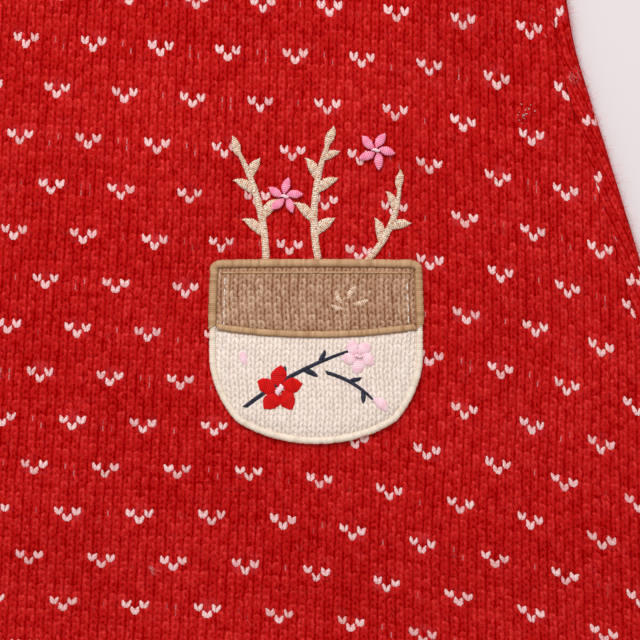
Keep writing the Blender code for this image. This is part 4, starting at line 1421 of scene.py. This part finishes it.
# Painted glints and dark reflections of a metallic thread's foil, as flakes:
# (lowest and highest random number that shows it, dye)
PAINTED_GLINTS = (
    (0.76, 0.92, dye(255, 250, 236)),
    (0.92, 1.0, dye(140, 90, 56)),
    (0.0, 0.12, dye(210, 144, 108)),
)
tan_thread = thread("tan_thread", *TAN, 0.6, shade_lines=0.16, sunk_shade=0.8)
cream_thread = thread("cream_thread", *CREAM, 0.6, shade_lines=0.2, sunk_shade=0.4)
red_thread = thread("red_thread", *SCARLET, 0.55, gloss=0.15)
pink_thread = thread("pink_thread", *PINK, shade_lines=0.35)
rose_thread = thread("rose_thread", *ROSE)
navy_thread = thread("navy_thread", *NAVY)
white_thread = thread("white_thread", *WHITE)
gold_thread = thread("gold_thread", *GOLD, 0.34, PAINTED_GLINTS)


def soft_fluff(name, dark, light):
    finish = Finish(name, Roughness=0.9, Specular_IOR_Level=0.1)
    return finish.coloured(finish.blend(finish.cloud(40.0, 1.0).eased(0.3, 0.7), dark, light))


fluff_finish = soft_fluff("red_fluff", dye(196, 30, 28), dye(226, 70, 64))
pale_fluff_finish = soft_fluff("pale_fluff", dye(214, 96, 96), dye(236, 170, 168))
print(len(bpy.data.materials), "materials")

# %% [markdown]
# ## Putting it in the frame
#
# A piece that stands for an imported solid hides the one it replaces. The flowers, dashes and
# fluff stand for none. The dress has no joints, so everything rides on the one body. The table
# also gives the size each cloth piece was cut to, which nothing here reads.

# %% Pieces, finishes and cuts
SLEEVE_CUT = (0.308, 0.345), 0.0566, ["floor"]
CUFF_CUT = (0.150, 0.042), 0.0059, ["floor"]
# (piece, solid it replaces, finish, slot), and for cloth (flat size, area, what it lies on)
PIECES = (
    (back, "back", red_knit, "red_knit", (0.493, 0.531), 0.1835, ["floor"]),
    (front, "front", red_knit, "red_knit", (0.479, 0.499), 0.1685, ["cloth_back"]),
    (hem, "hem_rib", rib_knit, "red_knit", (0.980, 0.028), 0.0270, ["floor"]),
    (neckband, "neckband", rib_knit, "red_knit", (0.345, 0.018), 0.0057, ["cloth_back"]),
    (sleeves["left"], "sleeve_left", red_knit, "red_knit", *SLEEVE_CUT),
    (sleeves["right"], "sleeve_right", red_knit, "red_knit", *SLEEVE_CUT),
    (cuffs["left"], "cuff_left", rib_knit, "red_knit", *CUFF_CUT),
    (cuffs["right"], "cuff_right", rib_knit, "red_knit", *CUFF_CUT),
    (yoke, "pocket_yoke", brown_knit, "brown_knit", (0.0674, 0.0227), 0.0014, ["cloth_front"]),
    (face, "pocket_face", cream_knit, "cream_knit", (0.0674, 0.0376), 0.0020, ["cloth_front"]),
    (yoke_border, "yoke_border", tan_thread, "tan_cord"),
    (face_border, "face_border", cream_thread, "cream_cord"),
    (divider, "pocket_divider", tan_thread, "tan_cord"),
    (navy, None, navy_thread, "tan_cord"),
    (red_flower, None, red_thread, "tan_cord"),
    (pink_flowers, None, pink_thread, "tan_cord"),
    (gold_sprigs, None, gold_thread, "tan_cord"),
    (stars, None, rose_thread, "tan_cord"),
    (star_hearts, None, pink_thread, "tan_cord"),
    (lockstitch, None, white_thread, "cream_cord"),
    (foil_crumbs, None, white_thread, "cream_cord"),
    (lint, None, pale_fluff_finish, "cream_cord"),
    (fluff, None, fluff_finish, "red_knit"),
    (fluff_sides, None, fluff_finish, "red_knit"),
)
for piece, node, finish, slot, *cut in PIECES:
    piece.data.materials.append(finish)
    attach(piece, "root")
    if node:
        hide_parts(node)
print(len(PIECES), "pieces in the frame")

# %% [markdown]
# ## Floor, light and camera
#
# The dress lies on a pale table and is looked at from straight above, with a long lens so that it
# isn't distorted. One big soft light beyond the neck rakes the knit just enough to model its
# stitches, and the pale surroundings fill the shadows.

# %% Table
bpy.ops.object.select_all(action="DESELECT")
TABLE_SIZE, TABLE_GAP = 8, 0.0003
bpy.ops.mesh.primitive_plane_add(size=TABLE_SIZE, location=(0, 0, -TABLE_GAP))
table = bpy.context.object
table.name = "floor"
paper = Finish("pale_table", Roughness=0.95, Specular_IOR_Level=0.1)
cloudy = paper.blend(paper.cloud(3.0, 2.0), dye(228, 220, 222), dye(236, 229, 230))
table.data.materials.append(paper.coloured(cloudy))

# %% Light
SKY_COLOUR, SKY_STRENGTH = (1.0, 0.99, 0.98, 1.0), 0.55
LAMP_PLACE, LAMP_SIZE, LAMP_WATTS = (-0.20, 0.85, 1.0), 0.8, 4.05
LAMP_SPREAD, LAMP_TILT, LAMP_LEAN = radians(96), radians(-37), radians(-12)
world = bpy.data.worlds.new("studio")
bpy.context.scene.world = world
world.use_nodes = True
sky = world.node_tree.nodes["Background"]
sky.inputs["Color"].default_value = SKY_COLOUR
sky.inputs["Strength"].default_value = SKY_STRENGTH
bpy.ops.object.light_add(type="AREA", location=LAMP_PLACE)
lamp = bpy.context.object
lamp.name = "soft_window"
lamp.data.size, lamp.data.spread = LAMP_SIZE, LAMP_SPREAD
lamp.data.energy = LAMP_WATTS
lamp.rotation_euler = (LAMP_TILT, LAMP_LEAN, 0)

# %% Camera
LENS, SENSOR, SEEN = 0.135, 0.036, 0.21333  # in metres, and SEEN is the width of cloth in view
MIDDLE_X, MIDDLE_Y, CLOTH_TOP = 0.0740, -0.0381, 0.0065
bpy.ops.object.camera_add(location=(MIDDLE_X, MIDDLE_Y, CLOTH_TOP + SEEN * LENS / SENSOR))
camera = bpy.context.object
camera.data.lens, camera.data.sensor_width = LENS * 1000, SENSOR * 1000
camera.data.clip_start, camera.data.clip_end = 0.01, 20
bpy.context.scene.camera = camera
bpy.context.scene.view_settings.view_transform = "Standard"
